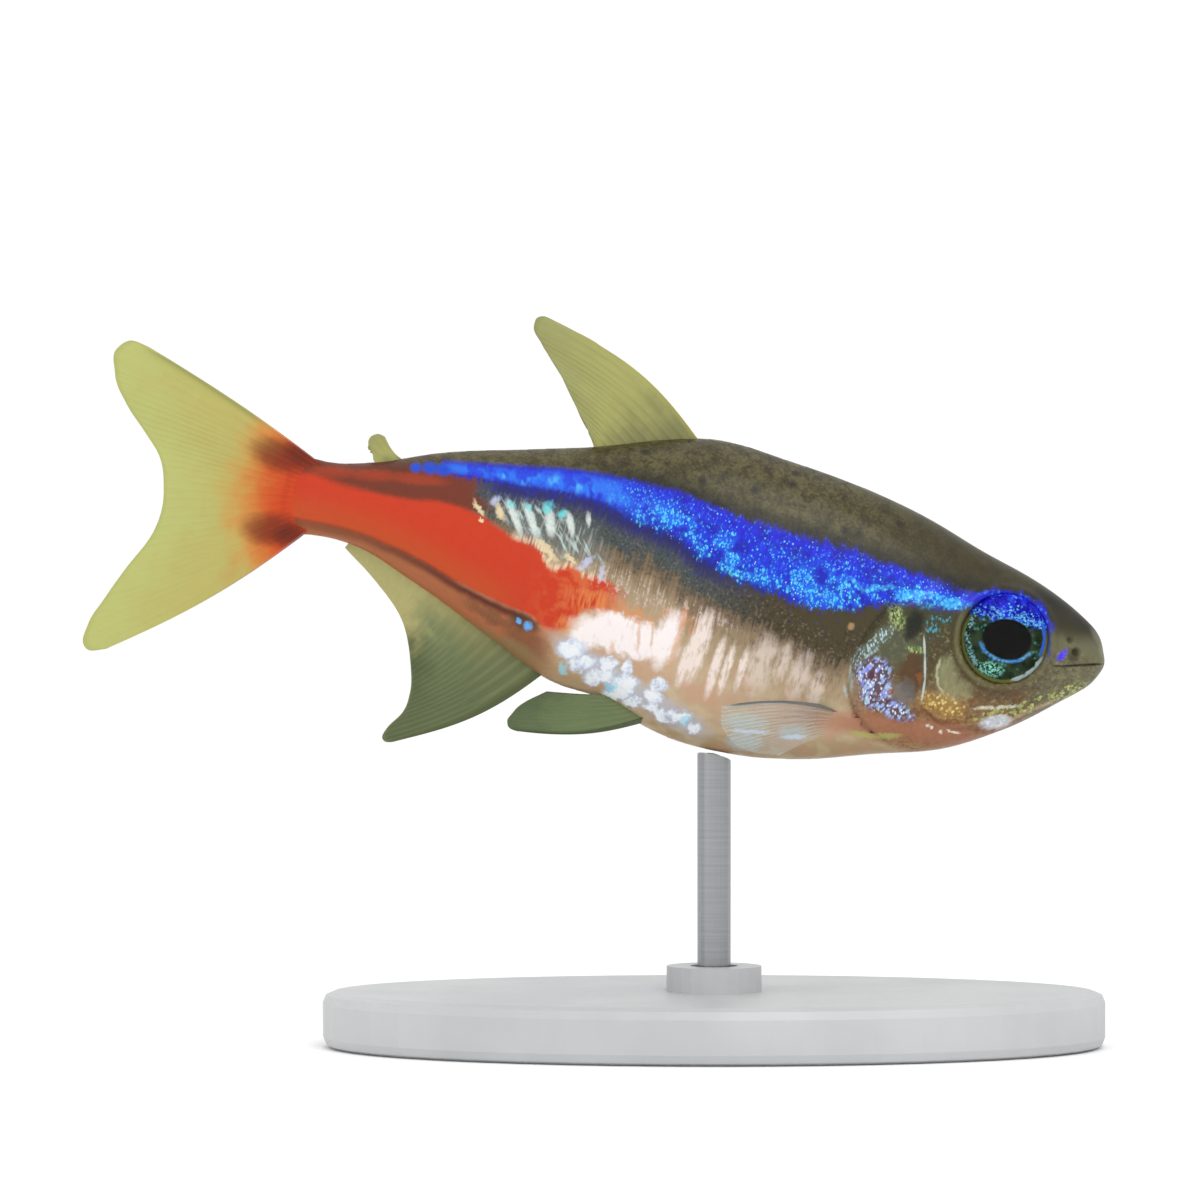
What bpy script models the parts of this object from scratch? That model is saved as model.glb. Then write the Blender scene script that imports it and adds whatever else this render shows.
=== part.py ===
"""Neon tetra at life size, as a still display model: the fish swims with its nose a little down,
its tail swept slightly to its left, and a plain stand of one rod on an oval base holds it up.

Every shape of the fish is worked out in the fish's own frame: aft is the distance behind the snout
tip, height is measured from the line through the snout and the middle of the tail stem, and side is
the distance to the fish's left. An empty then tips that frame nose down over the stand.
The row frame has +X towards the head, +Y to the fish's left and +Z up, with its origin under the
middle of the base.
"""

import math

import bmesh
import bpy
import numpy as np
from mathutils import Matrix, Vector

MM = 0.001

# Driving dimensions
STANDARD_LENGTH = 30.0 * MM
TOTAL_LENGTH = 37.1 * MM
NOSE_DOWN = math.radians(11.8)
TAIL_SWEEP = 2.0 * MM
SWEEP_START = 13.0 * MM
GAP = 0.25 * MM

# The body from the snout back: aft, height of the back, height of the belly and half width, in millimetres
BODY_STATIONS = (
    (0.00, 0.02, -0.02, 0.02),
    (0.08, 0.40, -0.36, 0.34),
    (0.30, 0.88, -0.76, 0.62),
    (1.20, 1.60, -1.58, 1.10),
    (3.10, 2.48, -3.06, 1.70),
    (5.10, 3.10, -4.16, 2.02),
    (7.50, 3.92, -4.84, 2.26),
    (9.90, 4.46, -5.52, 2.38),
    (12.20, 4.78, -5.84, 2.40),
    (15.60, 4.98, -5.52, 2.18),
    (17.20, 4.60, -4.88, 2.00),
    (19.30, 3.92, -4.60, 1.78),
    (21.60, 3.35, -3.60, 1.52),
    (24.80, 2.55, -2.16, 1.16),
    (27.20, 1.70, -1.30, 0.88),
    (28.40, 1.44, -1.22, 0.74),
    (30.20, 1.56, -1.52, 0.46),
)
WIDEST_SHARE = 0.56
SECTION_POWER = 0.9
STEM_ROUNDS_FROM = 29.2 * MM
STEM_END = 29.9 * MM
RING_CROWDING = 1.5

# The head
MOUTH_FRONT = (0.0, 0.02)
MOUTH_CORNER = (1.45, -0.35)
LIP_RELIEF = 0.11
LIP_REACH = 0.26
EYE_AFT = 3.78 * MM
EYE_HEIGHT = 0.15 * MM
EYE_SIDE = 1.32 * MM
EYE_RADIUS = 1.62 * MM
EYE_HALF_DEPTH = 0.82 * MM
EYE_TURN = math.radians(10)
ORBIT_RELIEF = 0.16
ORBIT_REACH = 0.24
GILL_RELIEF = 0.14
NOSTRILS = ((1.06, 0.22, 0.17), (1.42, 0.62, 0.14))
NOSTRIL_DEPTH = 0.30 * MM
GILL_COVER_THICKNESS = 0.5 * MM

# Cut lines seen from the side, as aft and height in millimetres, from the top down
GILL_LINE = (
    (6.60, 6.50),
    (6.75, 3.60),
    (7.10, 1.30),
    (7.95, 0.45),
    (8.55, -0.70),
    (8.80, -2.05),
    (8.55, -3.25),
    (7.80, -4.00),
    (6.80, -4.40),
    (6.05, -4.80),
    (5.80, -6.60),
)
CHEEK_LINE = ((6.95, 0.60), (6.62, -0.75), (6.30, -2.45), (6.05, -3.35))
GILL_COVER_FOOT = ((6.30, -3.62), (7.30, -3.92), (8.60, -4.50))
JAW_LINE = (MOUTH_CORNER, (1.62, -0.95), (2.25, -1.85), (2.95, -2.70), (3.25, -3.40), (3.30, -6.60))
VENT_LINE = ((19.42, 6.60), (19.36, -6.60))
STEM_LINE = ((27.62, 6.60), (27.62, -6.60))
REACH = 60.0 * MM

# Fins
MEMBRANE = 0.5 * MM
RAY_RELIEF = 0.12 * MM
FIN_EDGE = 0.34 * MM
FIN_ROOT = 0.66 * MM

# The stand
BASE_HALF_LENGTH = 14.0 * MM
BASE_HALF_WIDTH = 8.0 * MM
BASE_HEIGHT = 2.0 * MM
BASE_ROUNDING = 0.4 * MM
COLLAR_RADIUS = 1.7 * MM
COLLAR_HEIGHT = 0.9 * MM
ROD_RADIUS = 0.6 * MM
ROD_SEAT = 1.2 * MM
ROD_AFT = 13.0 * MM
BELLY_OVER_BASE = 8.6 * MM


def clear_scene():
    """Empties the scene, so that it holds only the model."""
    for obj in list(bpy.data.objects):
        bpy.data.objects.remove(obj)


def new_collection(name):
    """A collection linked to the scene."""
    made = bpy.data.collections.new(name)
    bpy.context.scene.collection.children.link(made)
    return made


def new_material(name, colour, roughness, metallic=0.0):
    """A plain Principled material."""
    material = bpy.data.materials.new(name)
    material.use_nodes = True
    shader = material.node_tree.nodes["Principled BSDF"]
    shader.inputs["Base Color"].default_value = (*colour, 1.0)
    shader.inputs["Roughness"].default_value = roughness
    shader.inputs["Metallic"].default_value = metallic
    return material


def smooth(edge):
    """The cubic step from 0 to 1 over 0 to 1, flat at both ends."""
    t = min(max(edge, 0.0), 1.0)
    return t * t * (3 - 2 * t)


def curve_through(knots, values):
    """A smooth function through values at the knots: cubic pieces that share their slopes."""
    knots = np.array(knots, float)
    values = np.array(values, float)
    slopes = np.gradient(values, knots, axis=0)

    def at(knot):
        knot = min(max(knot, knots[0]), knots[-1])
        i = min(int(np.searchsorted(knots, knot, side="right")) - 1, len(knots) - 2)
        span = knots[i + 1] - knots[i]
        t = (knot - knots[i]) / span
        return (
            values[i] * (1 + 2 * t) * (1 - t) ** 2
            + slopes[i] * span * t * (1 - t) ** 2
            + values[i + 1] * t * t * (3 - 2 * t)
            + slopes[i + 1] * span * t * t * (t - 1)
        )

    return at


def line_through(points, steps):
    """A smooth line through outline points, with that many steps between one and the next."""
    curve = curve_through(range(len(points)), points)
    return [tuple(curve(i / steps)) for i in range((len(points) - 1) * steps + 1)]


# The square root spreads the blunt snout out, so that the cubic pieces can follow it.
BODY = curve_through(
    [math.sqrt(row[0]) for row in BODY_STATIONS], [row[1:] for row in BODY_STATIONS]
)


def section(aft):
    """Heights of the back and the belly, and the half width, at a distance behind the snout, in metres."""
    return [float(value) * MM for value in BODY(math.sqrt(max(aft, 0.0) / MM))]


def sweep(aft):
    """How far the spine is to the fish's left, where the tail sweeps round."""
    share = max(0.0, aft - SWEEP_START) / (TOTAL_LENGTH - SWEEP_START)
    return TAIL_SWEEP * share * share


def fish_point(aft, height, side):
    """A point of the swept fish in its own frame, where X runs forwards and Z up."""
    return Vector((-aft, sweep(aft) + side, height))


def body_point(aft, angle, grow):
    """A point on the body's skin. The angle goes round the section from the left side over the back."""
    back, belly, half_width = section(min(aft, STEM_END))
    end = STEM_END + max(grow, 0.0)
    rounded = max(0.0, aft - STEM_ROUNDS_FROM) / (end - STEM_ROUNDS_FROM)
    closing = math.sqrt(max(0.0, 1.0 - rounded * rounded))
    middle = belly + WIDEST_SHARE * (back - belly)
    least = 0.05 * MM
    rise = max(back - middle + grow, least) if math.sin(angle) > 0 else max(middle - belly + grow, least)
    across = math.copysign(abs(math.cos(angle)) ** SECTION_POWER, math.cos(angle))
    side = max(half_width + grow, least) * across * closing
    return aft, middle + rise * math.sin(angle) * math.sqrt(closing), side


def distance_to(point, a, b):
    """Distance from a point to the line from a to b, seen from the side."""
    point, a, b = (np.array(p, float) for p in (point, a, b))
    share = np.clip((point - a) @ (b - a) / ((b - a) @ (b - a)), 0, 1)
    return float(np.linalg.norm(point - a - share * (b - a)))


def head_relief(aft, height):
    """How far the lips, the rim of the eye and the gill cover stand out, in metres.

    The arguments are in millimetres.
    """
    lips = LIP_RELIEF * math.exp(-((distance_to((aft, height), MOUTH_FRONT, MOUTH_CORNER) / LIP_REACH) ** 2))
    from_eye = math.hypot(aft - EYE_AFT / MM, height - EYE_HEIGHT / MM)
    rim_radius = (EYE_RADIUS + GAP) / MM + ORBIT_REACH / 2
    orbit = ORBIT_RELIEF * math.exp(-(((from_eye - rim_radius) / ORBIT_REACH) ** 2))
    cheek_front, cheek_back = 5.6, 7.2
    flank_top, flank_foot = 3.0, -4.6
    on_flank = smooth(flank_top - height) * smooth(height - flank_foot)
    gill = GILL_RELIEF * smooth((aft - cheek_front) / (cheek_back - cheek_front)) * on_flank
    return (lips + orbit + gill) * MM


def body_mesh(rings, segments, grow=0.0, relief=None):
    """The whole body as one closed surface, from a sphere whose poles become the snout and the stem's end."""
    bm = bmesh.new()
    bmesh.ops.create_uvsphere(bm, u_segments=segments, v_segments=rings, radius=1.0)
    length = STEM_END + max(grow, 0.0)
    placed = {}
    for vert in bm.verts:
        polar = math.acos(min(max(vert.co.z, -1.0), 1.0)) / math.pi
        aft = length * polar**RING_CROWDING
        if math.hypot(vert.co.x, vert.co.y) < 1e-6:
            back, belly, _ = section(min(aft, STEM_END))
            placed[vert] = (aft, belly + WIDEST_SHARE * (back - belly), 0.0)
        else:
            placed[vert] = body_point(aft, math.atan2(vert.co.y, vert.co.x), grow)
    for vert, place in placed.items():
        vert.co = fish_point(*place)
    bmesh.ops.recalc_face_normals(bm, faces=bm.faces)
    bm.normal_update()
    if relief:
        moved = {v: v.normal * relief(p[0] / MM, p[1] / MM) for v, p in placed.items()}
        for vert, shift in moved.items():
            vert.co += shift
    return bm


class Maker:
    """Holds the collections and the fish's frame, and makes objects in them."""

    def __init__(self):
        self.parts = new_collection("neon_tetra")
        self.cutters = new_collection("cutters")
        self.fish = bpy.data.objects.new("fish_frame", None)
        self.parts.objects.link(self.fish)
        self.fish.rotation_euler = (0.0, NOSE_DOWN, 0.0)
        belly_point = Vector((-ROD_AFT, 0.0, section(ROD_AFT)[1]))
        turned = Matrix.Rotation(NOSE_DOWN, 3, "Y") @ belly_point
        self.fish.location = Vector((0.0, 0.0, BASE_HEIGHT + BELLY_OVER_BASE)) - turned

    def add(self, name, bm, material=None, in_fish=True):
        """An object of this mesh: a part if it has a material, or else a cutter."""
        mesh = bpy.data.meshes.new(name)
        bm.to_mesh(mesh)
        bm.free()
        obj = bpy.data.objects.new(name, mesh)
        if in_fish:
            obj.parent = self.fish
        if material:
            mesh.materials.append(material)
            mesh.shade_smooth()
            self.parts.objects.link(obj)
        else:
            obj.hide_render = True
            obj.display_type = "WIRE"
            self.cutters.objects.link(obj)
        return obj

    def slab(self, name, outline, grow=0.0, near=-REACH, far=REACH):
        """A cutter from one side to another, of an outline in millimetres of aft and height."""
        corners = grown([(aft * MM, height * MM) for aft, height in outline], grow)
        curve = bpy.data.curves.new(name, "CURVE")
        curve.dimensions = "2D"
        curve.fill_mode = "BOTH"
        curve.extrude = (far - near) / 2
        spline = curve.splines.new("POLY")
        spline.points.add(len(corners) - 1)
        for point, (aft, height) in zip(spline.points, corners):
            point.co = (-aft, height, 0.0, 1.0)
        spline.use_cyclic_u = True
        flat = bpy.data.objects.new(name, curve)
        self.cutters.objects.link(flat)
        bpy.context.view_layer.update()
        bm = bmesh.new()
        mesh = bpy.data.meshes.new_from_object(flat.evaluated_get(bpy.context.evaluated_depsgraph_get()))
        bm.from_mesh(mesh)
        bmesh.ops.remove_doubles(bm, verts=bm.verts, dist=0.001 * MM)
        bmesh.ops.transform(bm, matrix=Matrix.Rotation(math.pi / 2, 4, "X"), verts=bm.verts)
        bmesh.ops.translate(bm, vec=(0.0, (near + far) / 2, 0.0), verts=bm.verts)
        bmesh.ops.recalc_face_normals(bm, faces=bm.faces)
        bpy.data.objects.remove(flat)
        return self.add(name, bm)


def grown(outline, distance):
    """A closed outline with each side moved outwards by a distance."""
    points = [np.array(point, float) for point in outline]
    area = sum(a[0] * b[1] - b[0] * a[1] for a, b in zip(points, points[1:] + points[:1]))
    turn = math.copysign(1.0, area)
    moved = []
    for before, here, after in zip(points[-1:] + points[:-1], points, points[1:] + points[:1]):
        first = (here - before) / np.linalg.norm(here - before)
        second = (after - here) / np.linalg.norm(after - here)
        normals = [turn * np.array((side[1], -side[0])) for side in (first, second)]
        between = sum(normals)
        moved.append(tuple(here + between * distance / (1 + normals[0] @ normals[1])))
    return moved


def boolean(obj, other, operation, solver="EXACT"):
    """A live Boolean on the object."""
    modifier = obj.modifiers.new(f"{operation.lower()}_{other.name}", "BOOLEAN")
    modifier.operation = operation
    modifier.solver = solver
    modifier.object = other


def ellipsoid(centre, radii, turn=0.0, segments=28, rings=14):
    """A closed ellipsoid turned about Z, its poles on its short axis across the fish."""
    bm = bmesh.new()
    bmesh.ops.create_uvsphere(bm, u_segments=segments, v_segments=rings, radius=1.0)
    to_side = Matrix.Rotation(math.pi / 2, 4, "X")
    size = Matrix.Diagonal((*radii, 1.0))
    place = Matrix.Translation(centre) @ Matrix.Rotation(turn, 4, "Z") @ size @ to_side
    bmesh.ops.transform(bm, matrix=place, verts=bm.verts)
    return bm


def eye_mesh(side, grow=0.0, **detail):
    """The eyeball, or its socket when grown. The side is 1 for the left eye and -1 for the right."""
    centre = Vector((-EYE_AFT, side * EYE_SIDE, EYE_HEIGHT))
    radius = EYE_RADIUS + grow
    return ellipsoid(centre, (radius, EYE_HALF_DEPTH + grow, radius), -side * EYE_TURN, **detail)


def head_outline():
    """The region of the head, in front of the gill line."""
    nape = line_through(GILL_LINE[1:-1], 3)
    return [(-1.5, 6.5), GILL_LINE[0], *nape, GILL_LINE[-1], (-1.5, -6.6)]


def jaw_outline():
    """The region of the lower jaw, under the mouth line."""
    ahead = -1.5
    slope = (MOUTH_CORNER[1] - MOUTH_FRONT[1]) / (MOUTH_CORNER[0] - MOUTH_FRONT[0])
    return [(ahead, MOUTH_FRONT[1] + slope * ahead), *JAW_LINE, (ahead, -6.6)]


def gill_cover_outline():
    """The region of the gill cover, between the cheek and beyond the gill line."""
    behind = 10.0
    return [*line_through(CHEEK_LINE, 3), *GILL_COVER_FOOT, (behind, -4.5), (behind, CHEEK_LINE[0][1] + 0.3)]


def make_head(maker, skin, cover_skin, jaw_skin):
    """The head with its eye sockets and nostrils, the lower jaw and the two gill covers."""
    rings, segments = 80, 32
    head_slab = maker.slab("head_region", head_outline())
    jaw_slab = maker.slab("jaw_region", jaw_outline())
    jaw_room = maker.slab("jaw_room", jaw_outline(), GAP)

    head = maker.add("head", body_mesh(rings, segments, relief=head_relief), skin)
    jaw = maker.add("lower_jaw", body_mesh(rings, segments, relief=head_relief), jaw_skin)
    boolean(head, head_slab, "INTERSECT")
    boolean(head, jaw_room, "DIFFERENCE")
    boolean(jaw, jaw_slab, "INTERSECT")

    room = maker.slab("gill_cover_room", gill_cover_outline(), GAP)
    boolean(room, maker.add("gill_core", body_mesh(56, 28, -GILL_COVER_THICKNESS - GAP)), "DIFFERENCE")
    boolean(head, room, "DIFFERENCE")
    under_cover = maker.add("under_gill_cover", body_mesh(56, 28, -GILL_COVER_THICKNESS))
    for word, side in (("left", 1), ("right", -1)):
        near, far = sorted((0.0, side * REACH))
        cover = maker.add(f"gill_cover_{word}", body_mesh(rings, segments, relief=head_relief), cover_skin)
        boolean(cover, head_slab, "INTERSECT")
        cover_slab = maker.slab(f"gill_cover_region_{word}", gill_cover_outline(), near=near, far=far)
        boolean(cover, cover_slab, "INTERSECT")
        boolean(cover, under_cover, "DIFFERENCE")

        boolean(head, maker.add(f"socket_{word}", eye_mesh(side, GAP)), "DIFFERENCE")
        for number, (aft, height, radius) in enumerate(NOSTRILS):
            half_width = snout_half_width(aft * MM, height * MM)
            centre = Vector((-aft * MM, side * half_width, height * MM))
            pit = ellipsoid(centre, (radius * MM, NOSTRIL_DEPTH, radius * MM), segments=12, rings=8)
            boolean(head, maker.add(f"nostril_{word}_{number}", pit), "DIFFERENCE")


def snout_half_width(aft, height):
    """How far out the plain skin is at a place on the side."""
    back, belly, half_width = section(aft)
    middle = belly + WIDEST_SHARE * (back - belly)
    reach = back - middle if height > middle else middle - belly
    level = min(abs(height - middle) / reach, 1.0)
    return half_width * (1 - level * level) ** (SECTION_POWER / 2)


def make_eyes(maker, material):
    """The two eyeballs."""
    for word, side in (("left", 1), ("right", -1)):
        maker.add(f"eye_{word}", eye_mesh(side, segments=24, rings=12), material)


def behind(line):
    """The region behind a cut line, as a closed outline."""
    end = STANDARD_LENGTH / MM + 5
    return [*line, (end, line[-1][1]), (end, line[0][1])]


def make_trunk(maker, trunk_skin, tail_skin):
    """The trunk from the gill opening to the vent, the tail behind it, and the stem of the tail fin."""
    rings, segments = 56, 32
    trunk = maker.add("trunk", body_mesh(rings, segments), trunk_skin)
    boolean(trunk, maker.slab("head_room", head_outline(), GAP), "DIFFERENCE")
    boolean(trunk, maker.slab("tail_room", behind(VENT_LINE), GAP), "DIFFERENCE")
    tail = maker.add("tail", body_mesh(rings, segments), tail_skin)
    boolean(tail, maker.slab("tail_region", behind(VENT_LINE)), "INTERSECT")
    boolean(tail, maker.slab("stem_room", behind(STEM_LINE), GAP), "DIFFERENCE")
    stem = maker.add("tail_stem", body_mesh(rings, segments), tail_skin)
    boolean(stem, maker.slab("stem_region", behind(STEM_LINE)), "INTERSECT")


class Fin:
    """A thin fin: rays fan from a root line inside the body to their tips.

    The root and the tips are (place along the fin, aft, height, side) in millimetres, where the place
    goes from 0 at the leading ray to 1 at the last. The bow lifts the leading ray off the straight
    line between its ends, and fades out towards the last one. The cup turns the middle rays aside,
    and a flare over 1 takes the fin away from the body early on.
    """

    def __init__(self, root, tips, rays, rows, bow=0.0, cup=0.0, flare=1.0):
        self.root = curve_through([p[0] for p in root], [p[1:] for p in root])
        self.tips = curve_through([p[0] for p in tips], [p[1:] for p in tips])
        self.rays, self.rows, self.bow, self.cup, self.flare = rays, rows, bow, cup, flare

    def point(self, across, along):
        """The middle of the membrane at shares across the rays and along them."""
        root, tip = self.root(across), self.tips(across)
        ray = tip - root
        bowed = math.sin(math.pi * along) * self.bow * (1 - across) ** 2
        normal = np.array((-ray[1], ray[0])) / max(math.hypot(ray[0], ray[1]), 1e-6)
        aft, height, _ = root + ray * along
        side = root[2] + ray[2] * (1 - (1 - along) ** self.flare)
        side += self.cup * math.sin(math.pi * across) * along
        return fish_point(*((aft + normal[0] * bowed) * MM, (height + normal[1] * bowed) * MM, side * MM))

    def thickness(self, column, along):
        """How thick the fin is: stout at the root, finer at the tips, and raised along each ray."""
        root_share = 0.25
        stout = FIN_ROOT + (MEMBRANE - FIN_ROOT) * smooth(along / root_share)
        thin_from = 0.6
        plain = stout + (FIN_EDGE - MEMBRANE) * smooth((along - thin_from) / (1 - thin_from))
        on_ray = column % 2 == 0 and self.rays > 1
        return plain + (RAY_RELIEF * (1 - 0.6 * along) if on_ray else 0.0)

    def build(self, maker, name, material, body_room, solver="EXACT"):
        """The fin as a solid whose root face follows the body."""
        columns = max(2 * self.rays - 1, 6)
        bm = bmesh.new()
        bmesh.ops.create_grid(bm, x_segments=columns - 1, y_segments=self.rows - 1, size=0.5)
        weights = []
        thickest = FIN_ROOT + RAY_RELIEF
        for vert in bm.verts:
            across, along = vert.co.x + 0.5, vert.co.y + 0.5
            weights.append(self.thickness(round(across * (columns - 1)), along) / thickest)
            vert.co = self.point(across, along)
        bmesh.ops.triangulate(bm, faces=bm.faces, quad_method="FIXED")
        fin = maker.add(name, bm, material)
        group = fin.vertex_groups.new(name="thickness")
        for index, weight in enumerate(weights):
            group.add([index], weight, "REPLACE")
        shell = fin.modifiers.new("thickness", "SOLIDIFY")
        shell.thickness = thickest
        shell.offset = 0.0
        shell.vertex_group = group.name
        boolean(fin, body_room, "DIFFERENCE", solver)


def unpaired_fins():
    """The fins on the middle line, each with its name."""
    half_gap = GAP / MM / 2
    dorsal = Fin(
        root=((0.0, 15.9, 4.45, 0.0), (0.5, 17.6, 4.0, 0.0), (1.0, 19.15, 3.45, 0.0)),
        tips=(
            (0.0, 22.05, 8.12, 0.0),
            (0.1, 22.36, 7.75, 0.0),
            (0.25, 22.02, 7.15, 0.0),
            (0.5, 21.10, 6.15, 0.0),
            (0.78, 20.10, 4.85, 0.0),
            (1.0, 19.45, 4.10, 0.0),
        ),
        rays=11,
        rows=11,
        bow=0.62,
    )
    anal = Fin(
        root=(
            (0.0, 19.7, -4.0, 0.0),
            (0.35, 22.3, -2.85, 0.0),
            (0.7, 25.1, -1.6, 0.0),
            (1.0, 27.3, -0.8, 0.0),
        ),
        tips=(
            (0.0, 24.40, -7.98, 0.0),
            (0.06, 24.74, -7.78, 0.0),
            (0.16, 24.22, -6.95, 0.0),
            (0.28, 24.08, -6.10, 0.0),
            (0.42, 24.28, -5.05, 0.0),
            (0.6, 24.85, -3.65, 0.0),
            (0.8, 26.00, -2.50, 0.0),
            (1.0, 27.44, -1.45, 0.0),
        ),
        rays=18,
        rows=9,
        bow=-0.42,
    )
    upper = Fin(
        root=((0.0, 29.2, 1.25, 0.0), (1.0, 29.3, half_gap, 0.0)),
        tips=(
            (0.0, 35.95, 4.20, 0.0),
            (0.05, 36.60, 4.30, 0.0),
            (0.11, 37.06, 3.90, 0.0),
            (0.22, 36.95, 3.05, 0.0),
            (0.42, 36.30, 2.02, 0.0),
            (0.62, 35.42, 1.14, 0.0),
            (0.82, 34.72, 0.37, 0.0),
            (1.0, 34.42, -0.25 + half_gap, 0.0),
        ),
        rays=10,
        rows=12,
        bow=0.12,
        cup=0.3,
    )
    lower = Fin(
        root=((0.0, 29.2, -1.2, 0.0), (1.0, 29.3, -half_gap, 0.0)),
        tips=(
            (0.0, 35.20, -6.80, 0.0),
            (0.05, 35.75, -6.98, 0.0),
            (0.11, 36.08, -6.72, 0.0),
            (0.18, 36.02, -6.05, 0.0),
            (0.32, 35.66, -5.10, 0.0),
            (0.5, 35.12, -3.85, 0.0),
            (0.7, 34.42, -2.40, 0.0),
            (0.86, 34.26, -1.35, 0.0),
            (1.0, 34.40, -0.25 - half_gap, 0.0),
        ),
        rays=9,
        rows=12,
        bow=-0.3,
        cup=0.3,
    )
    adipose = Fin(
        root=((0.0, 25.75, 1.9, 0.0), (1.0, 26.85, 1.5, 0.0)),
        tips=(
            (0.0, 26.92, 2.78, 0.0),
            (0.35, 27.28, 2.70, 0.0),
            (0.7, 27.42, 2.40, 0.0),
            (1.0, 27.15, 2.12, 0.0),
        ),
        rays=1,
        rows=6,
        bow=-0.12,
    )
    return {
        "dorsal_fin": dorsal,
        "anal_fin": anal,
        "tail_fin_upper": upper,
        "tail_fin_lower": lower,
        "adipose_fin": adipose,
    }


def paired_fins(side):
    """The breast and belly fins of one side, 1 for the left and -1 for the right."""
    pectoral = Fin(
        root=((0.0, 8.75, -3.45, side * 1.25), (1.0, 9.15, -4.35, side * 0.8)),
        tips=(
            (0.0, 13.15, -4.20, side * 2.95),
            (0.3, 12.95, -4.95, side * 2.75),
            (0.65, 12.10, -5.52, side * 2.45),
            (1.0, 10.75, -5.50, side * 2.0),
        ),
        rays=8,
        rows=9,
        bow=0.25,
        flare=2.6,
    )
    pelvic = Fin(
        root=((0.0, 15.7, -5.05, side * 0.45), (1.0, 16.7, -4.55, side * 0.3)),
        tips=(
            (0.0, 20.05, -6.56, side * 1.5),
            (0.2, 20.44, -6.25, side * 1.35),
            (0.6, 20.05, -5.65, side * 1.1),
            (1.0, 19.30, -5.05, side * 0.8),
        ),
        rays=7,
        rows=8,
        bow=-0.3,
        flare=1.5,
    )
    return {"pectoral_fin": pectoral, "pelvic_fin": pelvic}


def make_fins(maker, clear_fin, tail_fin):
    """Every fin, each rooted a gap away from the body."""
    body_room = maker.add("body_room", body_mesh(64, 36, GAP))
    for name, fin in unpaired_fins().items():
        # The exact solver takes the whole of the dorsal fin away.
        solver = "MANIFOLD" if name == "dorsal_fin" else "EXACT"
        fin.build(maker, name, tail_fin if name.startswith("tail") else clear_fin, body_room, solver)
    for word, side in (("left", 1), ("right", -1)):
        for name, fin in paired_fins(side).items():
            fin.build(maker, f"{name}_{word}", clear_fin, body_room)
    return body_room


def turned(bottom, top, radius, segments):
    """A closed upright cylinder."""
    bm = bmesh.new()
    bmesh.ops.create_cone(
        bm, cap_ends=True, segments=segments, radius1=radius, radius2=radius, depth=top - bottom
    )
    bmesh.ops.translate(bm, vec=(0.0, 0.0, (bottom + top) / 2), verts=bm.verts)
    return bm


def make_stand(maker, base_material, rod_material, body_room):
    """An oval base with a collar, and the rod that stands in it and ends under the belly."""
    bm = turned(0.0, BASE_HEIGHT, 1.0, 48)
    bmesh.ops.scale(bm, vec=(BASE_HALF_LENGTH, BASE_HALF_WIDTH, 1.0), verts=bm.verts)
    base = maker.add("stand_base", bm, base_material, in_fish=False)
    rim = base.modifiers.new("rounded_rim", "BEVEL")
    rim.width = BASE_ROUNDING
    rim.segments = 2
    rim.limit_method = "ANGLE"
    rim.angle_limit = math.radians(60)
    collar_mesh = turned(BASE_HEIGHT / 2, BASE_HEIGHT + COLLAR_HEIGHT, COLLAR_RADIUS, 24)
    collar = maker.add("collar", collar_mesh, in_fish=False)
    boolean(base, collar, "UNION")
    seat = BASE_HEIGHT - ROD_SEAT
    hole = maker.add(
        "rod_hole", turned(seat, BASE_HEIGHT + 2 * COLLAR_HEIGHT, ROD_RADIUS + GAP, 20), in_fish=False
    )
    boolean(base, hole, "DIFFERENCE")

    top = BASE_HEIGHT + BELLY_OVER_BASE + 1.5 * MM
    rod = maker.add("stand_rod", turned(seat + GAP, top, ROD_RADIUS, 20), rod_material, in_fish=False)
    boolean(rod, body_room, "DIFFERENCE")


def main():
    """Builds the fish and its stand."""
    clear_scene()
    maker = Maker()
    olive = new_material("head_skin", (0.16, 0.13, 0.06), 0.35)
    cover = new_material("gill_cover_skin", (0.42, 0.45, 0.55), 0.25)
    flank = new_material("flank_skin", (0.05, 0.14, 0.72), 0.3)
    red = new_material("red_skin", (0.62, 0.07, 0.02), 0.4)
    clear_fin = new_material("fin_membrane", (0.32, 0.36, 0.13), 0.4)
    tail_fin = new_material("tail_fin_membrane", (0.55, 0.56, 0.2), 0.4)
    eye = new_material("eye", (0.01, 0.01, 0.012), 0.05)
    base = new_material("stand_base", (0.62, 0.62, 0.6), 0.45)
    steel = new_material("stand_rod", (0.6, 0.6, 0.6), 0.3, 1.0)
    make_head(maker, olive, cover, olive)
    make_eyes(maker, eye)
    make_trunk(maker, flank, red)
    body_room = make_fins(maker, clear_fin, tail_fin)
    make_stand(maker, base, steel, body_room)


main()
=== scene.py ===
"""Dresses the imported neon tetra: one moist skin with its markings, a coat of scales, rayed fins, glass
eyes and a finished stand, under soft studio light, seen from the fish's right as in the photograph.

Shapes and markings are worked out in the fish's own frame, in millimetres: aft is the distance behind
the snout tip, height is measured from the line through the snout and the middle of the tail stem, and
side is the distance to the fish's left. The row frame is in metres, with +X towards the head.
"""

import logging
import math
from collections.abc import Callable, Sequence
from dataclasses import dataclass, field
from enum import Enum
from typing import NamedTuple, TypeAlias

import bmesh
import bpy
import numpy as np
from mathutils import Matrix, Vector


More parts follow.
